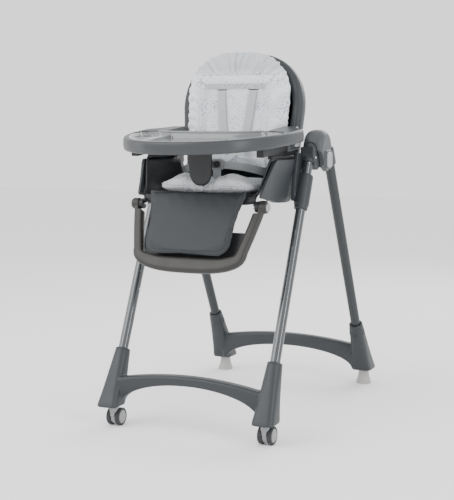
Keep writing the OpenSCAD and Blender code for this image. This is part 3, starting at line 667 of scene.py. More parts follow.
bezel = from_pivot(side_form(squared(button_mid, 0.0245, 0.0265, 4.5), [
    (0.255, 1), (0.2700, 1), (0.2715, 0.975)]))

# Room for the web, for the collar and its tube, for the web's swing, and for the button.
web_gap = np.array([WEB_CENTRE]) + squircle(72) * (WEB_R + 0.0027)
below = [(-0.150, -0.009), (-0.054, -0.009), (-0.044, -0.020), (-0.030, -0.140), (-0.150, -0.140)]
swing = [(-0.044, -0.006), (-0.026, 0.012), (0.016, 0.000), (0.026, -0.008),
         (0.028, -0.060), (0.040, -0.130), (-0.120, -0.130), (-0.120, -0.008), (-0.080, -0.008)]
pocket = squared(button_mid, 0.0206, 0.0226, 4.5)
cap_cuts = [from_pivot(side_form(outline, [(inner, 1), (outer, 1)])) for outline, inner, outer in (
    (web_gap, 0.190, 0.280), (below, 0.190, 0.280), (swing, 0.2121, 0.2542), (pocket, 0.2595, 0.280))]
cap_cuts.append(lathe(collar_foot, front_up, [
    (-0.020, 0.0210), (0.036, 0.0213), (0.0445, 0.0204), (0.0508, 0.0181), (0.0556, 0.0141),
    (0.0583, 0.0092), (0.0592, 0.0030)]))
for word, side in SIDES:
    parts = on_side(side, domed_cap(), rear_collar, bezel)
    made = fused(f"hub_cap_moulding_{word}", parts, cap_plastic, HUB_SKIN, 4)
    shaded(carved(made, *on_side(side, *cap_cuts)))
    fitted(made, "rear_frame", f"hub_cap_{word}")

# ---- Fold release buttons ----------------------------------------------------------------
# Pale polypropylene buttons with rounded corners and a slightly hollow face, one on the
# outside of each cap. Both are pressed to fold the frame.


def button_plastic(name):
    """Pale satin polypropylene with a fine grain, and a tone that varies a little at random."""
    paint = Finish(name, (0.27, 0.28, 0.29), 0.38)
    paint.feed("Base Color", paint.shades(paint.noise(40.0, 4.0), (0.24, 0.25, 0.26), (0.30, 0.31, 0.32)))
    paint.feed("Roughness", paint.noise(120.0) * 0.15 + 0.30)
    paint.bump(paint.noise(1300.0), 0.10, 0.0003)
    return paint.material


pale_plastic = button_plastic("button_plastic")


def button_cap(centre, half_y, half_z, power, base_x, face_x, hollow):
    """A rounded button along X: its edge is a quarter round, and its face dips by hollow as the
    square of the distance in from the edge."""
    drop = 0.0022
    curve = [(face_x - drop * (1 - math.sin(a)), 1 - 0.09 * (1 - math.cos(a)))
             for a in np.radians((0, 22, 45, 68, 90))]
    face = [(face_x - hollow * (1 - (s / 0.91) ** 2), s) for s in (0.80, 0.60, 0.40, 0.20, 0.05)]
    stations = [(base_x, 1.0)] + curve + face
    return side_form(squared(centre, half_y, half_z, power), stations)


release = from_pivot(button_cap(button_mid, 0.0200, 0.0220, 4.5, 0.2660, 0.2742, 0.0008))
pair("fold_release", [release], pale_plastic, "fold_button_*", "fold_button_*")

# ---- Sliders and height levers -----------------------------------------------------------
# Sleeves of slate nylon that run on the front tubes and carry the seat, each with a bracket
# plate inboard, and a squeeze lever behind that lets the seat go up and down.

SLEEVE_LOW = -0.206


def along_front(s):
    """The point on the right front tube's axis at distance s up it from the pivot's height."""
    near = front_line(0) + front_up * np.dot(pivot - front_line(0), front_up)
    return near + front_up * s


sleeve = lathe(along_front(SLEEVE_LOW), front_up, [
    (0.0, 0.0146), (0.0004, 0.0180), (0.002, 0.0190), (0.011, 0.0192), (0.0125, 0.0205),
    (0.014, 0.0214), (0.060, 0.0214), (0.098, 0.0210), (0.1025, 0.0200), (0.104, 0.0180),
    (0.104, 0.0146)])
fin = side_form(np.array([(-0.132, 0.630), (-0.070, 0.636), (-0.056, 0.700), (-0.070, 0.745),
                          (-0.082, 0.762), (-0.108, 0.762), (-0.122, 0.700)]),
                [(0.2040, 0.985), (0.2050, 1.0), (0.2150, 1.0), (0.2162, 0.985)])
for word, side in SIDES:
    made = fused(f"slider_moulding_{word}", on_side(side, sleeve, fin), slate_plastic, 0.0016, 7)
    fitted(made, "seat_carriage", f"slider_{word}")

# Each lever is a rounded bar behind the sleeve, from stations of (height, half width, half depth).
rear = np.cross(front_up, (1.0, 0, 0))
lever_foot = along_front(-0.164)
lever_section = squircle(40, 4)
lever_rings = []
for s, wide, deep in ((0.0, 0.004, 0.002), (0.001, 0.0078, 0.0045), (0.006, 0.0090, 0.0055),
                      (0.020, 0.0092, 0.0065), (0.034, 0.0088, 0.0050), (0.0385, 0.0078, 0.0030),
                      (0.0395, 0.004, 0.0015)):
    spread = lever_section * (wide, deep) @ np.array([(1.0, 0, 0), rear])
    lever_rings.append(lever_foot + front_up * s + rear * 0.0255 + spread)
squeeze = skin(lever_rings)
pair("height_squeeze", [squeeze], cap_plastic, "height_lever_*", "height_lever_*")

# ---- Seat shell --------------------------------------------------------------------------
# A deep polypropylene bucket in near-black, with rounded lower corners. Its sides rise in an S
# from a low front lip, and a rolled bead stiffens the rim. The bead is the bucket's own plastic,
# drawn in the lighter slate plastic as a painted highlight along the rim.

DARK = (0.014, 0.015, 0.017)
dark_plastic = moulded("dark_plastic", DARK, 0.46)
SEAT_FRONT, SEAT_REAR, SEAT_FLOOR, SEAT_RIM = -0.287, -0.044, 0.642, 0.752


def ease(t):
    """Smooth step: 0 below 0, 1 above 1, and 3t squared less 2t cubed between."""
    t = np.clip(t, 0, 1)
    return t * t * (3 - 2 * t)


def rim_height(y):
    """Height of the bucket's rim: a low lip in front, and an S up to the sides."""
    rise = ease((y - SEAT_FRONT - 0.004) / 0.055)
    return 0.657 + (SEAT_RIM - 0.657) * rise ** 0.8


def seat_section(y, across):
    """A U across the seat. The angle goes from one rim down round the floor to the other; x is
    the half width times its sine, and the drop its cosine, both to the power 2/5, which makes
    a floor and two walls with round corners. The walls flare with height."""
    angle = across * math.pi / 2
    depth = rim_height(y) - SEAT_FLOOR
    x = signed_power(np.sin(angle), 0.4)
    z = SEAT_FLOOR + depth * (1 - np.abs(np.cos(angle)) ** 0.4)
    half = 0.166 + 0.022 * (z - SEAT_FLOOR) / (SEAT_RIM - SEAT_FLOOR)
    return x * half, z


def grid_faces(rows, columns):
    """Quads of an open grid of rows by columns."""
    corner = np.arange(rows * columns).reshape(rows, columns)
    return np.stack([corner[:-1, :-1], corner[:-1, 1:], corner[1:, 1:], corner[1:, :-1]],
                    -1).reshape(-1, 4).tolist()


def sheet_form(name, points, material, thickness, offset=-1, sharp=45):
    """A moulded wall: an open grid of points given a thickness."""
    rows, columns = points.shape[:2]
    made = piece(name, [(points.reshape(-1, 3), grid_faces(rows, columns))], material, sharp)
    wall = made.modifiers.new("wall", "SOLIDIFY")
    wall.thickness = thickness
    wall.offset = offset
    wall.use_even_offset = True
    settle(made)
    return made


lengths = SEAT_FRONT + (SEAT_REAR - SEAT_FRONT) * np.linspace(0, 1, 60) ** 1.3
across = np.linspace(-1, 1, 97)
bucket_grid = np.zeros((len(lengths), len(across), 3))
for row, y in enumerate(lengths):
    x, z = seat_section(y, across)
    bucket_grid[row] = np.stack([x, np.full_like(x, y), z], 1)
nose = bucket_grid[:1] + np.stack([np.zeros(3), np.array([-0.004, -0.006, -0.006]),
                                   np.array([-0.001, -0.006, -0.016])], 1)[::-1, None, :]
seat_bucket = sheet_form("seat_bucket", np.concatenate([nose, bucket_grid]), dark_plastic, 0.0036, 0)
fitted(seat_bucket, "seat_carriage", "seat_shell")


def bead(path, radius, around=12):
    """A round bead along a path of points: a circle carried along it, square to its direction.
    Its radius is one number, or one for each point of the path."""
    path = np.asarray(path, float)
    along = np.gradient(path, axis=0)
    along /= np.linalg.norm(along, axis=1, keepdims=True)
    side = np.cross(along, (0.0, 0.0, 1.0))
    side[np.linalg.norm(side, axis=1) < 0.05] = (1, 0, 0)
    side /= np.linalg.norm(side, axis=1, keepdims=True)
    up = np.cross(side, along)
    circle = squircle(around)
    spread = circle[:, :1] * side[:, None] + circle[:, 1:] * up[:, None]
    return skin(path[:, None] + np.reshape(radius, (-1, 1, 1)) * spread)


rim_path = bucket_grid[:, -1]
rims = both(bead(rim_path + (0.0008, 0, 0), 0.0030))
lip = bead(bucket_grid[0, 4:-4] + (0, -0.0015, 0.0005), 0.0030)
# The rim and front lip beads are drawn in the lighter slate plastic: a painted highlight on the bucket's
# own dark plastic.
rim_painted_highlight = piece("seat_bucket_rim_painted_highlight", rims + [lip], slate_plastic, 60)
fitted(rim_painted_highlight, "seat_carriage")

# ---- Side covers -------------------------------------------------------------------------
# Outer covers of the seat in slate polypropylene. Each leans back at its front edge, draws in
# towards its foot, and has a broad upright swell that catches the light.


def cover_form():
    """Rings up the cover. Each is a long rounded section; its outer face carries a swell that
    is a bell curve along the chair, and its foot droops towards the rear."""
    rings = []
    for v in np.linspace(0, 1, 34):
        shape = squircle(120, 9)
        end = 1 - 0.10 * (2 * v - 1) ** 16
        front, rear = -0.303 + 0.062 * v, -0.090 + 0.012 * v
        y = (front + rear) / 2 + shape[:, 0] * (rear - front) / 2 * end
        x = 0.1840 + 0.0160 * v ** 1.1 + shape[:, 1] * 0.0065 * end
        outer = np.clip(shape[:, 1], 0, 1)
        swell = 0.0045 * np.exp(-((y + 0.150 - 0.02 * v) / 0.030) ** 2)
        x += outer * (swell - 0.004 * ease((-0.235 - y) / 0.05))
        foot = 0.646 - 0.020 * ease((y + 0.300) / 0.130)
        z = foot + (0.745 - foot) * v
        rings.append(np.stack([x, y, z], 1))
    return skin(rings)


pair("side_cover_moulding", [cover_form()], slate_plastic, "seat_carriage", "side_cover_*")

repaint(dark_plastic, "tray_rail_right", "tray_rail_left", "legrest_brackets", "footrest_plate")

# ---- Backrest shell ----------------------------------------------------------------------
# A tall domed shell in slate polypropylene. Its broad rolled rim frames the cushion like two
# wings, and a ribbed panel closes the back.

BACK_LEAN = -8
hinge = np.array(joint("backrest_recline")["pos_m"])
BACK_HALF, BACK_LOW_HALF, BACK_FOOT, BACK_TOP = 0.189, 0.172, -0.014, 0.376


def travelled(path):
    """How far along a path each of its points lies."""
    return np.concatenate([[0], np.cumsum(np.linalg.norm(np.diff(path, axis=0), axis=1))])


def evened(outline, count, closed=True):
    """Count points evenly spaced along an outline, which is closed or runs from end to end."""
    if closed:
        outline = np.concatenate([outline, outline[:1]])
    run = travelled(outline)
    at = np.linspace(0, run[-1], count, endpoint=not closed)
    return np.stack([np.interp(at, run, outline[:, 0]), np.interp(at, run, outline[:, 1])], 1)


def dome(inset, count=120):
    """The back's outline [x, z] drawn in by inset: straight sides that widen upwards, and a
    superellipse dome, evenly spaced along its length."""
    half, low_half = BACK_HALF - inset, BACK_LOW_HALF - inset
    foot, top = BACK_FOOT + inset, BACK_TOP - inset
    spring = top - half * 0.86
    angle = np.linspace(0, np.pi, 240)
    x = half * signed_power(np.cos(angle), 0.8)
    z = spring + half * 0.86 * np.sin(angle) ** 0.86
    corner = min(0.012, low_half / 3)
    path = np.concatenate([[(low_half - corner, foot), (low_half, foot + corner)], np.stack([x, z], 1),
                           [(-low_half, foot + corner), (-low_half + corner, foot)]])
    return evened(path, count)


def on_back(points):
    """Points in the back's own frame, put in the chair's."""
    return turned(points, hinge, BACK_LEAN)


def placed(rings, place):
    """The closed form through rings, with its points put in place by a function."""
    vertices, faces = skin(rings)
    return place(vertices), faces


def back_form(profile, front=None):
    """Rings of the domed outline from a profile of (inset, y), in the back's own frame. A front
    function limits how far forward the form comes at each height."""
    rings = []
    for inset, y in profile:
        flat = dome(inset)
        depth = y if front is None else np.maximum(y, front(flat[:, 1]))
        rings.append(ring_at(flat, 1, depth))
    return placed(rings, on_back)


def rim_front(z):
    """The rim comes forward only above the seat: its front edge steps back at the foot."""
    return -0.016 - 0.024 * ease((z - 0.080) / 0.060)


shell_profile = [(0.100, 0.0380), (0.066, 0.0378), (0.046, 0.0362), (0.030, 0.0320), (0.018, 0.0250),
                 (0.009, 0.0160), (0.0035, 0.0050), (0.0010, -0.0060), (0.0, -0.0160), (0.0004, -0.0280),
                 (0.0022, -0.0345), (0.0064, -0.0384), (0.0120, -0.0399), (0.0200, -0.0400),
                 (0.0262, -0.0388), (0.0280, -0.0355), (0.0285, -0.0280), (0.0270, -0.0060),
                 (0.0260, 0.0080), (0.0320, 0.0200), (0.0460, 0.0300), (0.066, 0.0335), (0.100, 0.0340)]
back_shell = piece("backrest_moulding", [back_form(shell_profile, rim_front)], slate_plastic, 50)
fitted(back_shell, "backrest", "backrest_shell")


panel_profile = [(0.120, 0.0440), (0.060, 0.0440), (0.048, 0.0436), (0.0445, 0.0425), (0.0430, 0.0400),
                 (0.0428, 0.0382), (0.120, 0.0382)]
rear_panel = piece("backrest_rear_cover", [back_form(panel_profile)], dark_plastic, 50)
fitted(rear_panel, "backrest", "backrest_rear_panel")

ribs = []
for height in np.arange(0.080, 0.215, 0.027):
    reach = 0.115 + 0.02 * (height / 0.2)
    x = np.linspace(-reach, reach, 40)
    taper = 0.0022 * (1 - np.abs(np.linspace(-1, 1, 40)) ** 8)
    path = np.stack([x, np.full_like(x, 0.0440), np.full_like(x, height)], 1)
    ribs.append(bead(on_back(path), np.maximum(taper, 0.0002)))
rear_ribs = piece("backrest_rear_ribs", ribs, dark_plastic, 60)
fitted(rear_ribs, "backrest")

# ---- Recline handle ----------------------------------------------------------------------
# A loop handle behind the back: squeezing it upwards frees the recline.


def loop_handle(centre, half_x, half_z, depth, hole_x, hole_z, drop):
    """A loop: at each angle a rounded section spans from the hole's superellipse to the outer
    one, and is swept once round."""
    around, section_points = 96, 20
    outer = squircle(around, 4.0) * (half_x, half_z)
    inner = squircle(around, 4.0) * (hole_x, hole_z) + (0, drop)
    section = squircle(section_points, 3.2)
    middle_line, spread = (outer + inner) / 2, (outer - inner) / 2
    grid = np.zeros((around, section_points, 3))
    grid[..., 0] = middle_line[:, :1] + spread[:, :1] * section[:, 0]
    grid[..., 1] = depth[0] + (depth[1] - depth[0]) * (0.5 + section[:, 1] / 2)
    grid[..., 2] = middle_line[:, 1:] + spread[:, 1:] * section[:, 0]
    grid += (centre[0], 0, centre[1])
    return on_back(grid.reshape(-1, 3)), ring_faces(around, section_points)


recline_loop = piece("recline_handle", [loop_handle(
    (0, 0.262), 0.060, 0.023, (0.0445, 0.0600), 0.043, 0.0095, -0.005)], cap_plastic, 50)
fitted(recline_loop, "recline_lever", "recline_lever")

# ---- Tray --------------------------------------------------------------------------------
# One polypropylene moulding: a rounded rim with a deep outer band, a recess for the insert,
# two arms that reach back beside the child, and housings under them that run on the rails.

TRAY_TILT = 5.65
TRAY_ORIGIN = (0, -0.142, 0.828)
TRAY_HALF, TRAY_REACH, RIM_W = 0.246, 0.324, 0.015
ARM_REAR, ARM_HALF, BELLY_HALF, BELLY_FRONT, INSERT_REAR = 0.084, 0.200, 0.152, -0.084, -0.064


def tray_front(inset, count=90):
    """The tray's round front: a superellipse of power 2.33, drawn in by inset."""
    angle = np.linspace(0, np.pi, count)
    return np.stack([(TRAY_HALF - inset) * signed_power(np.cos(angle), 2 / 2.33),
                     -(TRAY_REACH - inset) * np.sin(angle) ** (2 / 2.33)], 1)


def belly(inset, rear, count=60):
    """The cut-out for the child: a squarish half ellipse, grown by inset."""
    angle = np.linspace(np.pi, 2 * np.pi, count)
    x = (BELLY_HALF + inset) * signed_power(np.cos(angle), 0.5)
    y = -0.020 - (-BELLY_FRONT - 0.020 + inset) * np.abs(np.sin(angle)) ** 0.7
    ends = (-BELLY_HALF - inset, rear), (BELLY_HALF + inset, rear)
    return np.concatenate([ends[:1], np.stack([x, y], 1), ends[1:]])


def arm_edge(inset):
    """The outside of the left arm, a gentle curve from the front's widest line to the rear."""
    t = np.linspace(0.06, 1, 16)
    x = -(TRAY_HALF - inset) * (1 - t) ** 1.6 - (ARM_HALF - inset) * (1 - (1 - t) ** 1.6)
    return np.stack([x, (ARM_REAR - inset) * t], 1)


def tray_outline(inset):
    """The whole tray from above: its front, an arm, the belly cut-out and the other arm."""
    left = arm_edge(inset)
    return np.concatenate([tray_front(inset), left, belly(inset, ARM_REAR - inset),
                           left[::-1] * (-1, 1)])


def insert_outline(inset, rear=INSERT_REAR):
    """The recess and the insert: the tray's front, cut off straight short of the arms."""
    front = tray_front(inset, 200)
    edge = rear - inset + RIM_W
    front = front[front[:, 1] < edge]
    back = belly(inset, edge)
    back = back[back[:, 1] <= edge]
    corner = TRAY_HALF - inset - 0.004
    return np.concatenate([[(corner, edge)], front, [(-corner, edge)], back])


def on_tray(points):
    """Points in the tray's own frame, put in the chair's."""
    return turned(points, TRAY_ORIGIN, TRAY_TILT)


def flat_form(outline, profile, place):
    """A closed form from a profile of (inset, z) rings of an outline."""
    return placed([ring_at(outline(w), 2, z) for w, z in profile], place)


tray_body = flat_form(tray_outline, [
    (0.014, -0.0350), (0.0060, -0.0346), (0.0030, -0.0334), (0.0012, -0.0310), (0.0004, -0.0270),
    (0.0, -0.0200), (0.0002, -0.0120), (0.0009, -0.0060), (0.0022, -0.0026), (0.0042, -0.0006),
    (0.0070, 0.0), (0.0140, 0.0)], on_tray)
tray_plastic = moulded("tray_plastic", (0.042, 0.046, 0.050), 0.36)
tray = piece("tray_moulding", [tray_body], tray_plastic, 50)
recess = flat_form(lambda w: evened(insert_outline(w), 260), [
    (0.0178, -0.0200), (0.0162, -0.0190), (0.0155, -0.0170), (0.0152, -0.0050), (0.0146, -0.0018),
    (0.0128, 0.0002), (0.0120, 0.0040)], on_tray)
under = flat_form(lambda w: evened(insert_outline(w), 200),
                  [(0.0050, -0.0400), (0.0050, -0.0236)], on_tray)
shaded(carved(tray, recess, under), 40)
fitted(tray, "tray", "tray_base")

# The arms' housings are rounded boxes under the arms, open below for the rail.
RAIL_IN, RAIL_OUT = 0.178, 0.198


def housing():
    """Rings down the arm's underside: rounded rectangles that narrow a little towards the foot."""
    rings = []
    for z, grow in ((-0.0300, 0.0), (-0.0400, 0.0), (-0.0560, -0.0004), (-0.0605, -0.0014),
                    (-0.0625, -0.0030), (-0.0632, -0.0060)):
        shape = squircle(72, 7) * (0.019 + grow, 0.046 + grow)
        rings.append(ring_at(shape + (0.186, 0.038), 2, z))
    return placed(rings, on_tray)


def tray_block(low, high):
    """A plain block in the tray's frame, for cutting."""
    x, y, z = np.meshgrid(*[(low[i], high[i]) for i in range(3)], indexing="ij")
    corners = np.stack([x, y, z], -1).reshape(-1, 3)
    return on_tray(corners), [[0, 1, 3, 2], [4, 6, 7, 5], [0, 4, 5, 1],
                              [2, 3, 7, 6], [0, 2, 6, 4], [1, 5, 7, 3]]


# The rail's channel, the slot below it, and the button's window.
housing_cuts = [tray_block((RAIL_IN - 0.0005, -0.4, -0.0575), (RAIL_OUT + 0.0005, 0.2, -0.0368)),
                tray_block((RAIL_IN - 0.003, -0.1, -0.0700), (0.191, 0.2, -0.0565)),
                tray_block((RAIL_OUT + 0.003, 0.0330, -0.0556), (0.220, 0.0650, -0.0424))]
for word, side in SIDES:
    made = piece(f"tray_arm_housing_{word}", on_side(side, housing()), tray_plastic, 50)
    shaded(carved(made, *on_side(side, *housing_cuts)))
    fitted(made, "tray")

# A joint line crosses each arm where the rim ends, and bends down over the arm's outer edge.
t = np.linspace(0, 1, 40)
x = 0.168 + 0.0745 * t - 0.004 * ease((t - 0.80) / 0.20)
y = -0.062 - 0.030 * ease(t * 1.4 - 0.2) - 0.016 * t ** 4
z = 0.0002 - 0.0125 * ease((t - 0.86) / 0.14)
thin_out = 0.0009 * (1 - np.abs(2 * t - 1) ** 10) + 0.0001
for word, side in SIDES:
    line = bead(on_tray(np.stack([x * side, y, z], 1)), thin_out)
    fitted(piece(f"tray_joint_line_{word}", [line], dark_plastic, 60), "tray")

pair("tray_release", [side_form(squared((-0.0885, 0.7840), 0.0150, 0.0060, 5), [
    (0.2026, 0.98), (0.2032, 1.0), (0.2068, 1.0), (0.2080, 0.93), (0.2084, 0.80)])],
    pale_plastic, "tray_button_*", "tray_button_*")

# ---- Tray insert -------------------------------------------------------------------------
# A lift-out board in a paler, glossy polypropylene: a wide dished area, a raised deck at one
# side with cup wells and a slot, and a raised lip along the child's edge.

insert_paint = Finish("insert_plastic", (0.150, 0.158, 0.164), 0.16, Coat_Weight=0.35,
                      Coat_Roughness=0.08, Specular_IOR_Level=0.5)
insert_paint.feed("Base Color", insert_paint.shades(
    insert_paint.noise(26.0, 3.0), (0.140, 0.148, 0.154), (0.162, 0.170, 0.177)))
wiping = insert_paint.noise(1.0, 2.0, insert_paint.stretched((90, 700, 90)))
insert_paint.feed("Roughness", wiping * 0.14 + 0.10)
insert_paint.bump(insert_paint.noise(340.0, 1.0), 0.04, 0.0002)


def inward(points, outline):
    """Distance of each point to an outline: the least distance to its line segments."""
    first, second = outline, np.roll(outline, -1, 0)
    along = second - first
    size = (along ** 2).sum(1) + 1e-12
    best = np.full(len(points), 9.0)
    for a, d, n in zip(first, along, size):
        t = np.clip(((points - a) @ d) / n, 0, 1)
        best = np.minimum(best, np.linalg.norm(points - a - t[:, None] * d, axis=1))
    return best


def well(points, centre, half, power, edge):
    """1 inside a superellipse, 0 outside, with a smooth wall edge metres wide."""
    off = np.abs((points - centre) / half)
    reach = (off ** power).sum(1) ** (1 / power)
    return 1 - ease((reach - 1) * min(half) / edge + 0.5)


# The board sits 0.6 mm clear of the tray's rim, and its wells are named for their middles.
BOARD_INSET = RIM_W + 0.0006
CUP, SMALL, SLOT = (-0.160, -0.150), (-0.170, -0.090), (-0.152, -0.216)


def insert_height(points, edge_distance):
    """Height of the insert's face: a rim, then a wall down to the dish; the deck stands up
    from the dish on the left, and each well goes down from the deck. The dish is slightly
    crowned, so that it drains."""
    rim = 1 - ease((edge_distance - 0.0075) / 0.0055)
    dish = -0.0155 + 0.0012 * (1 - ((points[:, 0] - 0.04) / 0.2) ** 2)
    deck = 1 - ease((points[:, 0] + 0.108 + 0.10 * (points[:, 1] + 0.15) ** 2) / 0.006 + 0.5)
    floor = dish + (-0.0050 - dish) * deck
    low = np.maximum.reduce([well(points, CUP, (0.0345, 0.0345), 2, 0.004),
                             well(points, SMALL, (0.0140, 0.0140), 2, 0.003),
                             well(points, SLOT, (0.0330, 0.0150), 4, 0.003)])
    depth = np.where(points[:, 1] < -0.195, -0.0105, -0.0155)
    floor = floor * (1 - low) + depth * low
    ring = np.exp(-((np.linalg.norm(points - CUP, axis=1) - 0.0385) / 0.0022) ** 2) * 0.0010
    return floor * (1 - rim) + (-0.0006) * rim + ring * (1 - rim)


def insert_surface(outline):
    """The board's face as a triangulated plan: its outline, offset lines where the wall bends,
    rings round the wells, and an even grid between, joined by a Delaunay net."""
    extra = [evened(insert_outline(BOARD_INSET + w), 400)
             for w in (0.0015, 0.0040, 0.0070, 0.0085, 0.0098, 0.0110, 0.0124, 0.0150)]
    circle = squircle(72)
    for r in (0.0310, 0.0325, 0.0337, 0.0349, 0.0362, 0.0380, 0.0400, 0.0420):
        extra.append(circle * r + CUP)
    for r in (0.0118, 0.0130, 0.0142, 0.0156, 0.0170):
        extra.append(circle[::2] * r + SMALL)
    for w in (-0.0030, -0.0015, 0.0, 0.0015, 0.0030):
        extra.append(squircle(80, 4) * (0.0330 + w, 0.0150 + w) + SLOT)
    for x in np.linspace(-0.1115, -0.1035, 7):
        y = np.linspace(-0.30, -0.09, 60)
        extra.append(np.stack([x - 0.10 * (y + 0.15) ** 2, y], 1))
    gx, gy = np.meshgrid(np.arange(-0.230, 0.231, 0.0055), np.arange(-0.312, -0.060, 0.0055))
    inner = np.concatenate(extra)
    grid = np.stack([gx.ravel(), gy.ravel()], 1)
    tree = KDTree(len(inner))
    for number, point in enumerate(inner):
        tree.insert((*point, 0), number)
    tree.balance()
    grid = np.array([p for p in grid if tree.find((*p, 0))[2] > 0.0022])
    loose = np.concatenate([inner, grid])
    points = [Vector(p) for p in np.concatenate([outline, loose])]
    verts, _, faces, *_ = delaunay_2d_cdt(points, [], [list(range(len(outline)))], 1, 1e-5)
    return np.array([tuple(v) for v in verts]), [list(f) for f in faces]


board_outline = evened(insert_outline(BOARD_INSET), 420)
flat, net = insert_surface(board_outline)
height = insert_height(flat, inward(flat, board_outline))
top = on_tray(np.column_stack([flat, height]))
insert = piece("tray_board", [(top, net)], insert_paint.material, 55)
wall = insert.modifiers.new("wall", "SOLIDIFY")
wall.thickness = 0.0024
wall.offset = -1
settle(insert)
shaded(insert, 40)
fitted(insert, "tray_insert", "tray_insert")

# The lip that the child leans on: a low rounded ridge along the belly cut-out.
lip_line = belly(0.0175, INSERT_REAR - 0.003, 120)
lip_line = lip_line[lip_line[:, 1] <= INSERT_REAR - 0.002]
from_end = np.minimum(np.arange(len(lip_line)), np.arange(len(lip_line))[::-1])
lip_bead = bead(on_tray(ring_at(lip_line, 2, 0.0008)), 0.0042 * np.clip(from_end / 6, 0.05, 1))
belly_lip = piece("tray_board_lip", [lip_bead], insert_paint.material, 60)
fitted(belly_lip, "tray_insert")

# ---- Crotch post -------------------------------------------------------------------------
# A smooth dark tongue under the tray, between the child's legs, in the same polypropylene
# as the seat. It is thicker in the middle and rounded at its foot.


def tongue():
    """Rings from back to front of a tongue-shaped outline: parallel at the top, a half
    superellipse at the foot. Each ring draws in at the faces like a quarter circle."""
    rings = []
    for t in np.linspace(-1, 1, 17):
        inset = 0.0045 * (1 - math.sqrt(max(0.0, 1 - abs(t) ** 3.0)))
        angle = np.linspace(np.pi, 2 * np.pi, 60)
        half = 0.0365 - inset
        x = half * signed_power(np.cos(angle), 0.86)
        z = -0.099 - (0.0400 - inset) * np.abs(np.sin(angle)) ** 0.92
        x = x * (1 - 0.10 * ease((-z - 0.035) / 0.09))
        outline = np.concatenate([[(-half, -0.033)], np.stack([x, z], 1), [(half, -0.033)]])
        rings.append(ring_at(outline, 1, -0.150 + t * 0.0060))
    return placed(rings, on_tray)


post_plastic = moulded("post_plastic", (0.016, 0.017, 0.018), 0.34, 0.08)
post = piece("crotch_tongue", [tongue()], post_plastic, 50)
fitted(post, "tray", "crotch_post")

# ---- Leg rest frame ----------------------------------------------------------------------
# A U-shaped bar in warm grey polypropylene: two arms that turn on the seat's brackets, and a
# deep rounded cross bar for the feet.

LEG_LEAN = -26.6
leg_hinge = np.array(joint("legrest_tilt")["pos_m"])
LEG_HALF, LEG_LENGTH = 0.196, 0.195


def leg_outline(inset, bar, top, count=150):
    """One edge of the U [x, distance down]: straight arms that draw in, then a rounded bar."""
    half, low = LEG_HALF - inset, LEG_LENGTH - bar
    knee = LEG_LENGTH * 0.68
    angle = np.linspace(0.0, np.pi, 90)
    x = (half - 0.028) * signed_power(np.cos(angle), 0.7)
    d = knee + (low - knee) * np.sin(angle) ** 0.8
    arm = np.stack([half - 0.028 * np.linspace(0, 1, 30) ** 1.25, np.linspace(top, knee, 30)], 1)
    path = np.concatenate([arm[:-1], np.stack([x, d], 1), (arm * (-1, 1))[::-1][1:]])
    return evened(path, count, closed=False)


def on_leg(points):
    """Points [x, distance down, distance behind] in the leg rest's frame, put in the chair's."""
    points = np.asarray(points, float)
    upright = np.stack([points[..., 0], points[..., 2], -points[..., 1]], -1)
    return turned(upright, leg_hinge, LEG_LEAN)


def leg_bar():
    """A rounded section swept round the U, spanning from its outer edge to its inner edge."""
    outer, inner = leg_outline(0, 0, -0.004), leg_outline(0.028, 0.044, -0.004)
    middle_line, spread = (outer + inner) / 2, (outer - inner) / 2
    section = squircle(36, 3.4)
    grid = np.zeros((len(outer), 36, 3))
    grid[..., :2] = middle_line[:, None] + spread[:, None] * section[None, :, :1]
    grid[..., 2] = 0.0118 * section[None, :, 1]
    return placed(grid, on_leg)


def about_hinge(x, stations):
    """Rings round the leg rest's hinge, from x outwards."""
    return lathe(leg_hinge + (x, 0, 0), (1.0, 0, 0), stations)


boss_right = about_hinge(0.1812, [(0.0, 0.0150), (0.0006, 0.0160), (0.0200, 0.0160), (0.0212, 0.0152)])
frame_plastic = moulded("frame_plastic", (0.026, 0.025, 0.0235), 0.42)
leg_frame = fused("legrest_bar", [leg_bar()] + both(boss_right), frame_plastic, BASE_SKIN, 4)
bracket_room = about_hinge(0.1560, [(0, 0.024), (0.0252, 0.024)])
button_hole = about_hinge(0.1950, [(0, 0.0123), (0.02, 0.0123)])
shaded(carved(leg_frame, bracket_room, button_hole, mirrored(bracket_room), mirrored(button_hole)), 40)
fitted(leg_frame, "legrest", "legrest_frame")

pair("legrest_release", [about_hinge(0.1992, [
    (0.0, 0.0118), (0.0052, 0.0118), (0.0068, 0.0112), (0.0076, 0.0098), (0.0078, 0.0080),
    (0.0072, 0.0066), (0.0070, 0.0010)])],
    pale_plastic, "legrest_button_*", "legrest_button_*")

# ---- Calf pad ----------------------------------------------------------------------------
# A foam pad covered in dark imitation leather, hung from the seat's front lip in front of
# the leg rest.


def leather(name, colour):
    """Imitation leather: small cells with creases between them, a soft sheen, and wide, faint
    puckers where the cover is pulled."""
    paint = Finish(name, colour, 0.5, Specular_IOR_Level=0.3)
    cells = paint.node("ShaderNodeTexVoronoi", {"feature": "DISTANCE_TO_EDGE"},
                       {"Vector": paint.place, "Scale": 620.0})
    paint.mottle(paint.noise(7.0, 3.0), 0.88, 1.12)
    paint.feed("Roughness", cells * 0.5 + 0.40)
    paint.bump(cells * 2.0 + paint.noise(36.0, 3.0) * 0.5, 0.30, 0.0006)
    return paint.material


pad_leather = leather("pad_leather", (0.019, 0.022, 0.025))


def pad_outline(count=160):
    """Front view of the pad [x, distance down]: straight sides that draw in towards big round
    lower corners, and a straight top that reaches up to the seat's lip."""
    points = [(0.145, -0.036), (0.1475, -0.028), (0.1365, 0.025), (0.1310, 0.075)]
    bend = np.radians(np.linspace(4, 88, 24))
    corner = np.stack([0.0860 + 0.0430 * np.cos(bend), 0.1120 + 0.0420 * np.sin(bend)], 1)
    right = np.concatenate([points, corner])
    return evened(np.concatenate([right, (right * (-1, 1))[::-1]]), count)


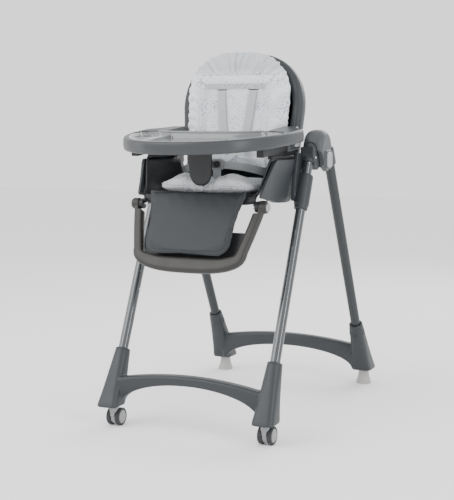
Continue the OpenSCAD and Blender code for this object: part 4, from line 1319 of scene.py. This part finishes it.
def crowned(outline, centre, place, front, rear, power=5.0, steps=16):
    """A crowned pad: rings of an outline shrunk towards its centre. The front face stands off
    by front times the root of 1 less the scale to a power, and the rear face by rear."""
    scales = np.concatenate([np.sin(np.linspace(0.02, 1, steps) * np.pi / 2),
                             np.sin(np.linspace(1, 0.02, steps) * np.pi / 2)[1:]])
    rings = []
    for number, s in enumerate(scales):
        off = math.sqrt(max(0.0, 1 - s ** power))
        depth = rear * off if number < steps else -front * off
        rings.append(ring_at(centre + (outline - centre) * s, 2, depth))
    return placed(rings, place)


def softened(made, voxel, pressure, cap, levels=0):
    """Swells a pad as cloth: it is remeshed, blown up by a light pressure without gravity for
    twenty frames, and no point may move further than cap. Then it is subdivided."""
    remesh = made.modifiers.new("skin", "REMESH")
    remesh.mode = "VOXEL"
    remesh.voxel_size = voxel
    settle(made)
    count = len(made.data.vertices)
    start = np.empty(count * 3)
    made.data.vertices.foreach_get("co", start)
    cloth = made.modifiers.new("cloth", "CLOTH")
    cloth.settings.use_pressure = True
    cloth.settings.uniform_pressure_force = pressure
    cloth.settings.effector_weights.gravity = 0
    cloth.settings.quality = 4
    cloth.collision_settings.use_collision = False
    for number in range(1, 21):
        bpy.context.scene.frame_set(number)
    swollen = made.evaluated_get(bpy.context.evaluated_depsgraph_get()).data
    end = np.empty(count * 3)
    swollen.vertices.foreach_get("co", end)
    made.modifiers.clear()
    bpy.context.scene.frame_set(1)
    moved = (end - start).reshape(-1, 3)
    length = np.linalg.norm(moved, axis=1, keepdims=True)
    moved *= np.minimum(1, cap / np.maximum(length, 1e-9))
    made.data.vertices.foreach_set("co", start + moved.ravel())
    if levels:
        fine = made.modifiers.new("fine", "SUBSURF")
        fine.levels = fine.render_levels = levels
        settle(made)
    made.data.shade_smooth()
    return made


def worked(made, height):
    """Moves every point of a piece along its normal by height(points), for seams and pleats."""
    count = len(made.data.vertices)
    points, normals = np.empty(count * 3), np.empty(count * 3)
    made.data.vertices.foreach_get("co", points)
    made.data.vertices.foreach_get("normal", normals)
    points, normals = points.reshape(-1, 3), normals.reshape(-1, 3)
    made.data.vertices.foreach_set("co", (points + normals * height(points)[:, None]).ravel())
    made.data.update()
    return made


def on_pad(points):
    """The pad's own points, whose depth is measured from its middle, put in the chair's."""
    points = np.array(points, float)
    points[:, 2] -= 0.0215
    return on_leg(points)


def pad_height(points):
    """A seam 12 mm in from the pad's edge, and shallow puckers that fan out below the top."""
    x, z = points[:, 0], points[:, 2]
    outline = pad_outline(120)
    c, s = math.cos(math.radians(LEG_LEAN)), math.sin(math.radians(LEG_LEAN))
    down = -((points[:, 2] - leg_hinge[2]) * c - (points[:, 1] - leg_hinge[1]) * s)
    edge = inward(np.stack([x, down], 1), outline)
    pucker = 0.0002 * np.sin(x * 150 + 5 * np.sin(z * 30)) * ease((z - 0.60) / 0.06)
    return -0.0010 * np.exp(-((edge - 0.011) / 0.0016) ** 2) + pucker


calf_form = crowned(pad_outline(), np.array((0, 0.060)), on_pad, 0.0062, 0.0058, 9.0)
calf_pad = piece("calf_cushion", [calf_form], pad_leather)
softened(calf_pad, 0.0035, 2.0, 0.004, 1)
worked(calf_pad, pad_height)
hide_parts("calf_pad")
tuple(on_leg([(0, -0.020, -0.02)])[0])
tuple(on_leg([(0, 0.020, -0.02)])[0])
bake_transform(calf_pad)

# ---- Seat cushion ------------------------------------------------------------------------
# A fibre-filled pad in white cotton with a blue-grey speckled print. Its front edge rolls over
# the seat's lip in two soft lobes, one under each thigh, with a valley between them.


def printed_cotton(name, band=None):
    """White cotton, printed all over with small blue-grey flecks that cluster in clouds. The
    weave and the loose fill show as fine and broad bumps. Above the height of band, the cloth
    is greyer."""
    paint = Finish(name, (0.74, 0.76, 0.78), 0.85, Specular_IOR_Level=0.15, Sheen_Weight=0.15)
    flecks = paint.node("ShaderNodeTexVoronoi", {"feature": "F1"},
                        {"Vector": paint.place, "Scale": 210.0, "Randomness": 1.0})
    cloud = paint.noise(24.0, 4.0)
    spots = (cloud * 0.9 - flecks - 0.10) * 6.0
    grey = paint.shades(cloud, (0.60, 0.63, 0.67), (0.84, 0.85, 0.86))
    colour = paint.shades(spots, grey, (0.20, 0.25, 0.36))
    if band is not None:
        height = paint.node("ShaderNodeSeparateXYZ", {}, {"Vector": paint.place}, 2)
        upper = (height - band) * 60.0 + cloud * 0.5
        colour = paint.shades(upper * 0.8, colour, (0.50, 0.53, 0.56))
    paint.feed("Base Color", colour)
    weave = paint.noise(900.0, 2.0)
    paint.feed("Roughness", cloud * 0.2 + 0.72)
    paint.bump(weave * 0.35 + paint.noise(60.0, 3.0) * 0.9, 0.35, 0.0016)
    return paint.material


cotton = printed_cotton("cushion_fabric")
PAD_FRONT, PAD_REAR, PAD_LOW, PAD_HALF = -0.268, -0.052, 0.6515, 0.150


def seat_pad_form():
    """Rings across the seat. Each is a squarish loop from front to rear; its height is the sum
    of a flat pad, a bell-shaped lobe under each thigh, and a narrow valley at the middle, and
    it draws in at both ends."""
    rings = []
    for x in np.linspace(-1, 1, 81):
        end = max(0.02, 1 - abs(x) ** 5) ** (1 / 3.2)
        loop = squircle(72, 3.0)
        across, up = loop[:, 0], loop[:, 1]
        place = abs(x) * PAD_HALF
        forward = ease((0.1 - across) / 0.9)
        crown = 0.038 + forward * (0.021 * math.exp(-((place - 0.072) / 0.042) ** 2)
                                   - 0.012 * math.exp(-(place / 0.016) ** 2))
        front = PAD_FRONT + 0.010 * math.exp(-(place / 0.014) ** 2) + 0.004 * (place / PAD_HALF) ** 2
        y = (front + PAD_REAR) / 2 + across * end ** 0.5 * (PAD_REAR - front) / 2
        z = PAD_LOW + crown / 2 * 0.95 + up * end * crown / 2 + (1 - end) * 0.004
        rings.append(ring_at(np.stack([y, z], 1), 0, x * PAD_HALF))
    return skin(rings)


def seat_pad_height(points):
    """The piped seam round the pad's side, a seam down the middle, and small creases that run
    back from the front roll."""
    x, y, z = points.T
    side_seam = -0.0014 * np.exp(-((z - 0.672) / 0.0016) ** 2) * ease((-0.215 - y) / 0.02)
    piping = 0.0012 * np.exp(-((z - 0.6755) / 0.0018) ** 2) * ease((-0.215 - y) / 0.02)
    middle_seam = -0.0022 * np.exp(-(x / 0.0020) ** 2) * ease((z - 0.675) / 0.006)
    creases = 0.0010 * np.sin(x * 210 + 6 * np.sin(x * 37) + y * 22) * ease((-0.200 - y) / 0.04)
    return side_seam + piping + middle_seam + creases * ease((0.145 - np.abs(x)) / 0.03)


seat_pad = piece("thigh_cushion", [seat_pad_form()], cotton)
softened(seat_pad, 0.0042, 1.5, 0.003, 1)
worked(seat_pad, seat_pad_height)
fitted(seat_pad, "seat_carriage", "seat_cushion")

# ---- Back cushion ------------------------------------------------------------------------
# The same cloth over a thicker fill: a greyer gathered headrest across the top, padded side
# bolsters stitched off from the middle, and a narrow band above the two harness slots.

BACK_MIDDLE = (0.0, 0.195)


def in_back(points):
    """The chair's points in the back's own frame."""
    return turned(np.asarray(points) - hinge, (0, 0, 0), -BACK_LEAN)


def cushion_outline(count=180):
    """Front view of the cushion [x, height]: a little wider above its waist, domed on top, and
    rounded at the foot."""
    angle = np.linspace(0, np.pi, 90)
    x = 0.161 * signed_power(np.cos(angle), 0.80)
    z = 0.240 + 0.136 * np.sin(angle) ** 0.88
    foot = np.array([(0.142, 0.034), (0.150, 0.044), (0.1545, 0.090), (0.1595, 0.160)])
    return evened(np.concatenate([foot, np.stack([x, z], 1), foot[::-1] * (-1, 1)]), count)


def back_cushion_form():
    """Rings from the rear face to the front: each is the outline at a scale and a depth."""
    rings = []
    for scale, depth in ((0.05, 0.0305), (0.50, 0.0305), (0.68, 0.0290), (0.760, 0.0240), (0.800, 0.0120),
                         (0.815, -0.0100), (0.820, -0.0330), (0.835, -0.0405), (0.900, -0.0435),
                         (0.965, -0.0460), (0.995, -0.0500), (1.004, -0.0555), (0.998, -0.0620),
                         (0.975, -0.0690), (0.93, -0.0745), (0.84, -0.0785), (0.68, -0.0805),
                         (0.40, -0.0810), (0.05, -0.0810)):
        flat = np.array(BACK_MIDDLE) + (cushion_outline() - BACK_MIDDLE) * scale
        rings.append(ring_at(flat, 1, depth))
    return placed(rings, on_back)


def groove(distance, width, depth):
    """A stitched groove: a bell curve across it."""
    return -depth * np.exp(-(distance / width) ** 2)


def back_cushion_height(points):
    """Seams and pleats on the front: a long seam beside each bolster, the right one slanting
    out at the top; two seams for the band; slanted pleats on the left bolster; gathers that
    fan out over the headrest; and a middle that lies a little lower than its edges."""
    x, y, z = in_back(points).T
    front = ease((-0.050 - y) / 0.018)
    left, right = x + 0.112, x - 0.106 - 0.050 * ease((z - 0.270) / 0.075)
    head = ease((z - 0.302 + 0.05 * np.abs(x)) / 0.012)
    low = groove(left, 0.0026, 0.0058) * (1 - head)
    low += groove(right, 0.0030, 0.0052) * ease((0.350 - z) / 0.02)
    between = ease(left / 0.006) * ease(-right / 0.006)
    low += (groove(z - 0.300, 0.0028, 0.0060) + groove(z - 0.272, 0.0024, 0.0046)) * between
    low += 0.0016 * np.exp(-((z - 0.286) / 0.009) ** 2) * between
    hollow = ease(left / 0.022) * ease(-right / 0.022) * ease((0.276 - z) / 0.014)
    low += -0.0190 * hollow * ease((z - 0.02) / 0.05)
    pleats = 0.0046 * np.abs(np.sin((z + 0.42 * x) * 118 + 1.3 * np.sin(x * 61))) ** 0.7 - 0.0030
    low += pleats * ease((-left - 0.002) / 0.010) * (1 - head) * ease(z / 0.05)
    bolster = 0.0024 * np.sin(z * 88 + 2.2 * np.sin(x * 70) + x * 45)
    low += bolster * ease((right - 0.002) / 0.010)
    turn = np.arctan2(x, z - 0.21)
    gathers = 0.0030 * np.sin(turn * 34 + 2.0 * np.sin(turn * 9)) + 0.0014 * np.sin(turn * 83 + z * 60)
    low += gathers * head
    edge = 0.0012 * np.sin(turn * 41 + 3 * np.sin(turn * 7)) * ease((-0.044 - y) / 0.01) * (1 - front)
    return low * front + edge


back_cotton = printed_cotton("headrest_fabric", 0.985)
back_pad = piece("back_cushion_cover", [back_cushion_form()], back_cotton)
softened(back_pad, 0.0048, 2.0, 0.005, 1)
worked(back_pad, back_cushion_height)
fitted(back_pad, "backrest", "back_cushion")

# Bound slots in the cover, where the shoulder straps come through.
x = np.linspace(-0.018, 0.018, 24)
for word, side in SIDES:
    path = on_back(np.stack([x + 0.050 * side, np.full(24, -0.0676), 0.262 + 0.0003 * x], 1))
    slot = bead(path, 0.0013 * (1 - np.abs(x / 0.0185) ** 6))
    fitted(piece(f"harness_slot_{word}", [slot], dark_plastic, 60), "backrest")

# ---- Harness -----------------------------------------------------------------------------
# Ribbed polypropylene webbing in pale grey: two shoulder straps, two waist straps and a crotch
# strap, which meet at a buckle with a round press button.


def ribbed_webbing(name):
    """Webbing with fine ribs along it, which follow the ribbon's own UV map."""
    paint = Finish(name, (0.42, 0.44, 0.45), 0.75, Specular_IOR_Level=0.2)
    across = paint.node("ShaderNodeUVMap", {"uv_map": "ribbon"}, {})
    ribs = paint.node("ShaderNodeTexWave", {"wave_type": "BANDS", "bands_direction": "X"},
                      {"Vector": across, "Scale": 4.0, "Distortion": 0.2}, 1)
    cloud = paint.noise(60.0, 3.0)
    paint.feed("Base Color", paint.shades(cloud, (0.37, 0.39, 0.40), (0.48, 0.50, 0.51)))
    paint.feed("Roughness", cloud * 0.2 + 0.62)
    paint.bump(ribs * 0.6 + paint.noise(1500.0) * 0.4, 0.30, 0.0004)
    return paint.material


webbing = ribbed_webbing("webbing")


def spline(points, count):
    """A smooth path through points: each span is a Catmull-Rom cubic."""
    points = np.asarray(points, float)
    padded = np.concatenate([[2 * points[0] - points[1]], points, [2 * points[-1] - points[-2]]])
    out = []
    for at in np.linspace(0, len(points) - 1, count):
        span = min(int(at), len(points) - 2)
        t = at - span
        a, b, c, d = padded[span:span + 4]
        out.append(0.5 * (2 * b + (c - a) * t + (2 * a - 5 * b + 4 * c - d) * t ** 2
                          + (3 * b - a - 3 * c + d) * t ** 3))
    return np.array(out)


RIBBON_UV = 40  # turns of the ribbon's UV map to the metre


def ribbon(name, points, wide, width, thickness, count=60):
    """A strap along a path: a flat rounded section, with its width along wide where it can be.
    A UV map runs across it and along it."""
    path = spline(points, count)
    along = np.gradient(path, axis=0)
    along /= np.linalg.norm(along, axis=1, keepdims=True)
    wide = np.linspace(wide[0], wide[1], count)
    wide = wide - along * (wide * along).sum(1, keepdims=True)
    wide /= np.linalg.norm(wide, axis=1, keepdims=True)
    out = np.cross(wide, along)
    around = 28
    section = squircle(around, 5)
    rings = (path[:, None] + wide[:, None] * section[None, :, :1] * width / 2
             + out[:, None] * section[None, :, 1:] * thickness / 2)
    made = piece(name, [skin(rings)], webbing, 60)
    corner = np.zeros(len(made.data.loops), int)
    made.data.loops.foreach_get("vertex_index", corner)
    ring, step = np.divmod(np.minimum(corner, count * around - 1), around)
    place = np.stack([section[step, 0] * width / 2, travelled(path)[ring]], 1) * RIBBON_UV
    made.data.uv_layers.new(name="ribbon").data.foreach_set("uv", place.ravel())
    return made


BUCKLE = np.array((0, -0.176, 0.730))
for word, side in SIDES:
    upper = on_back([(0.050, -0.0620, 0.262), (0.0495, -0.0705, 0.254), (0.046, -0.0722, 0.215),
                     (0.038, -0.0725, 0.150), (0.033, -0.0745, 0.112)])
    lower = [(0.026, -0.104, 0.766), (0.020, -0.148, 0.744), (0.017, -0.169, 0.738)]
    made = ribbon(f"shoulder_strap_{word}", np.concatenate([upper, lower]) * (side, 1, 1),
                  ((1.0, 0, 0), (1.0, 0, 0)), 0.024, 0.0018)
    if side > 0:
        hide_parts("shoulder_straps")
    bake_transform(made)
    made = ribbon(f"waist_strap_{word}", np.array([
        (0.022, -0.1760, 0.729), (0.050, -0.1750, 0.7270), (0.085, -0.1660, 0.7220),
        (0.118, -0.1420, 0.7120), (0.138, -0.1020, 0.7000), (0.144, -0.0700, 0.6920)]) * (side, 1, 1),
        ((0, 0.15, 1.0), (0.5 * side, 0, 1.0)), 0.022, 0.0017)
    if side > 0:
        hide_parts("waist_straps")
    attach(made, "seat_carriage")

crotch = ribbon("crotch_webbing", [
    (0, -0.1760, 0.684), (0, -0.1762, 0.695), (0, -0.1765, 0.706), (0, -0.1762, 0.716)],
    ((1.0, 0, 0), (1.0, 0, 0)), 0.025, 0.0017, 30)
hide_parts("crotch_strap")
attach(crotch, "seat_carriage")


def shield(half_x, half_z, power, stations):
    """A rounded block facing forward: a superellipse in the XZ plane at (y, scale) stations."""
    rings = []
    for y, scale in stations:
        flat = squircle(72, power) * (half_x, half_z) * scale
        rings.append(ring_at(flat, 1, y) + BUCKLE)
    return skin(rings)


buckle_body = piece("buckle_moulding", [shield(0.0230, 0.0160, 3.6, [
    (0.0070, 0.90), (0.0062, 0.97), (0.0040, 1.0), (-0.0030, 1.0), (-0.0056, 0.965), (-0.0068, 0.90),
    (-0.0070, 0.80), (-0.0070, 0.640), (-0.0050, 0.632), (-0.0012, 0.630)])], pale_plastic, 40)
fitted(buckle_body, "seat_carriage", "buckle")
press = piece("buckle_press", [lathe(BUCKLE + (0, -0.0040, 0), (0, -1.0, 0), [
    (0.0, 0.0088), (0.0026, 0.0088), (0.0036, 0.0080), (0.0038, 0.0066),
    (0.0030, 0.0040), (0.0027, 0.0006)])], dark_plastic, 50)
fitted(press, "buckle_button", "buckle_button")
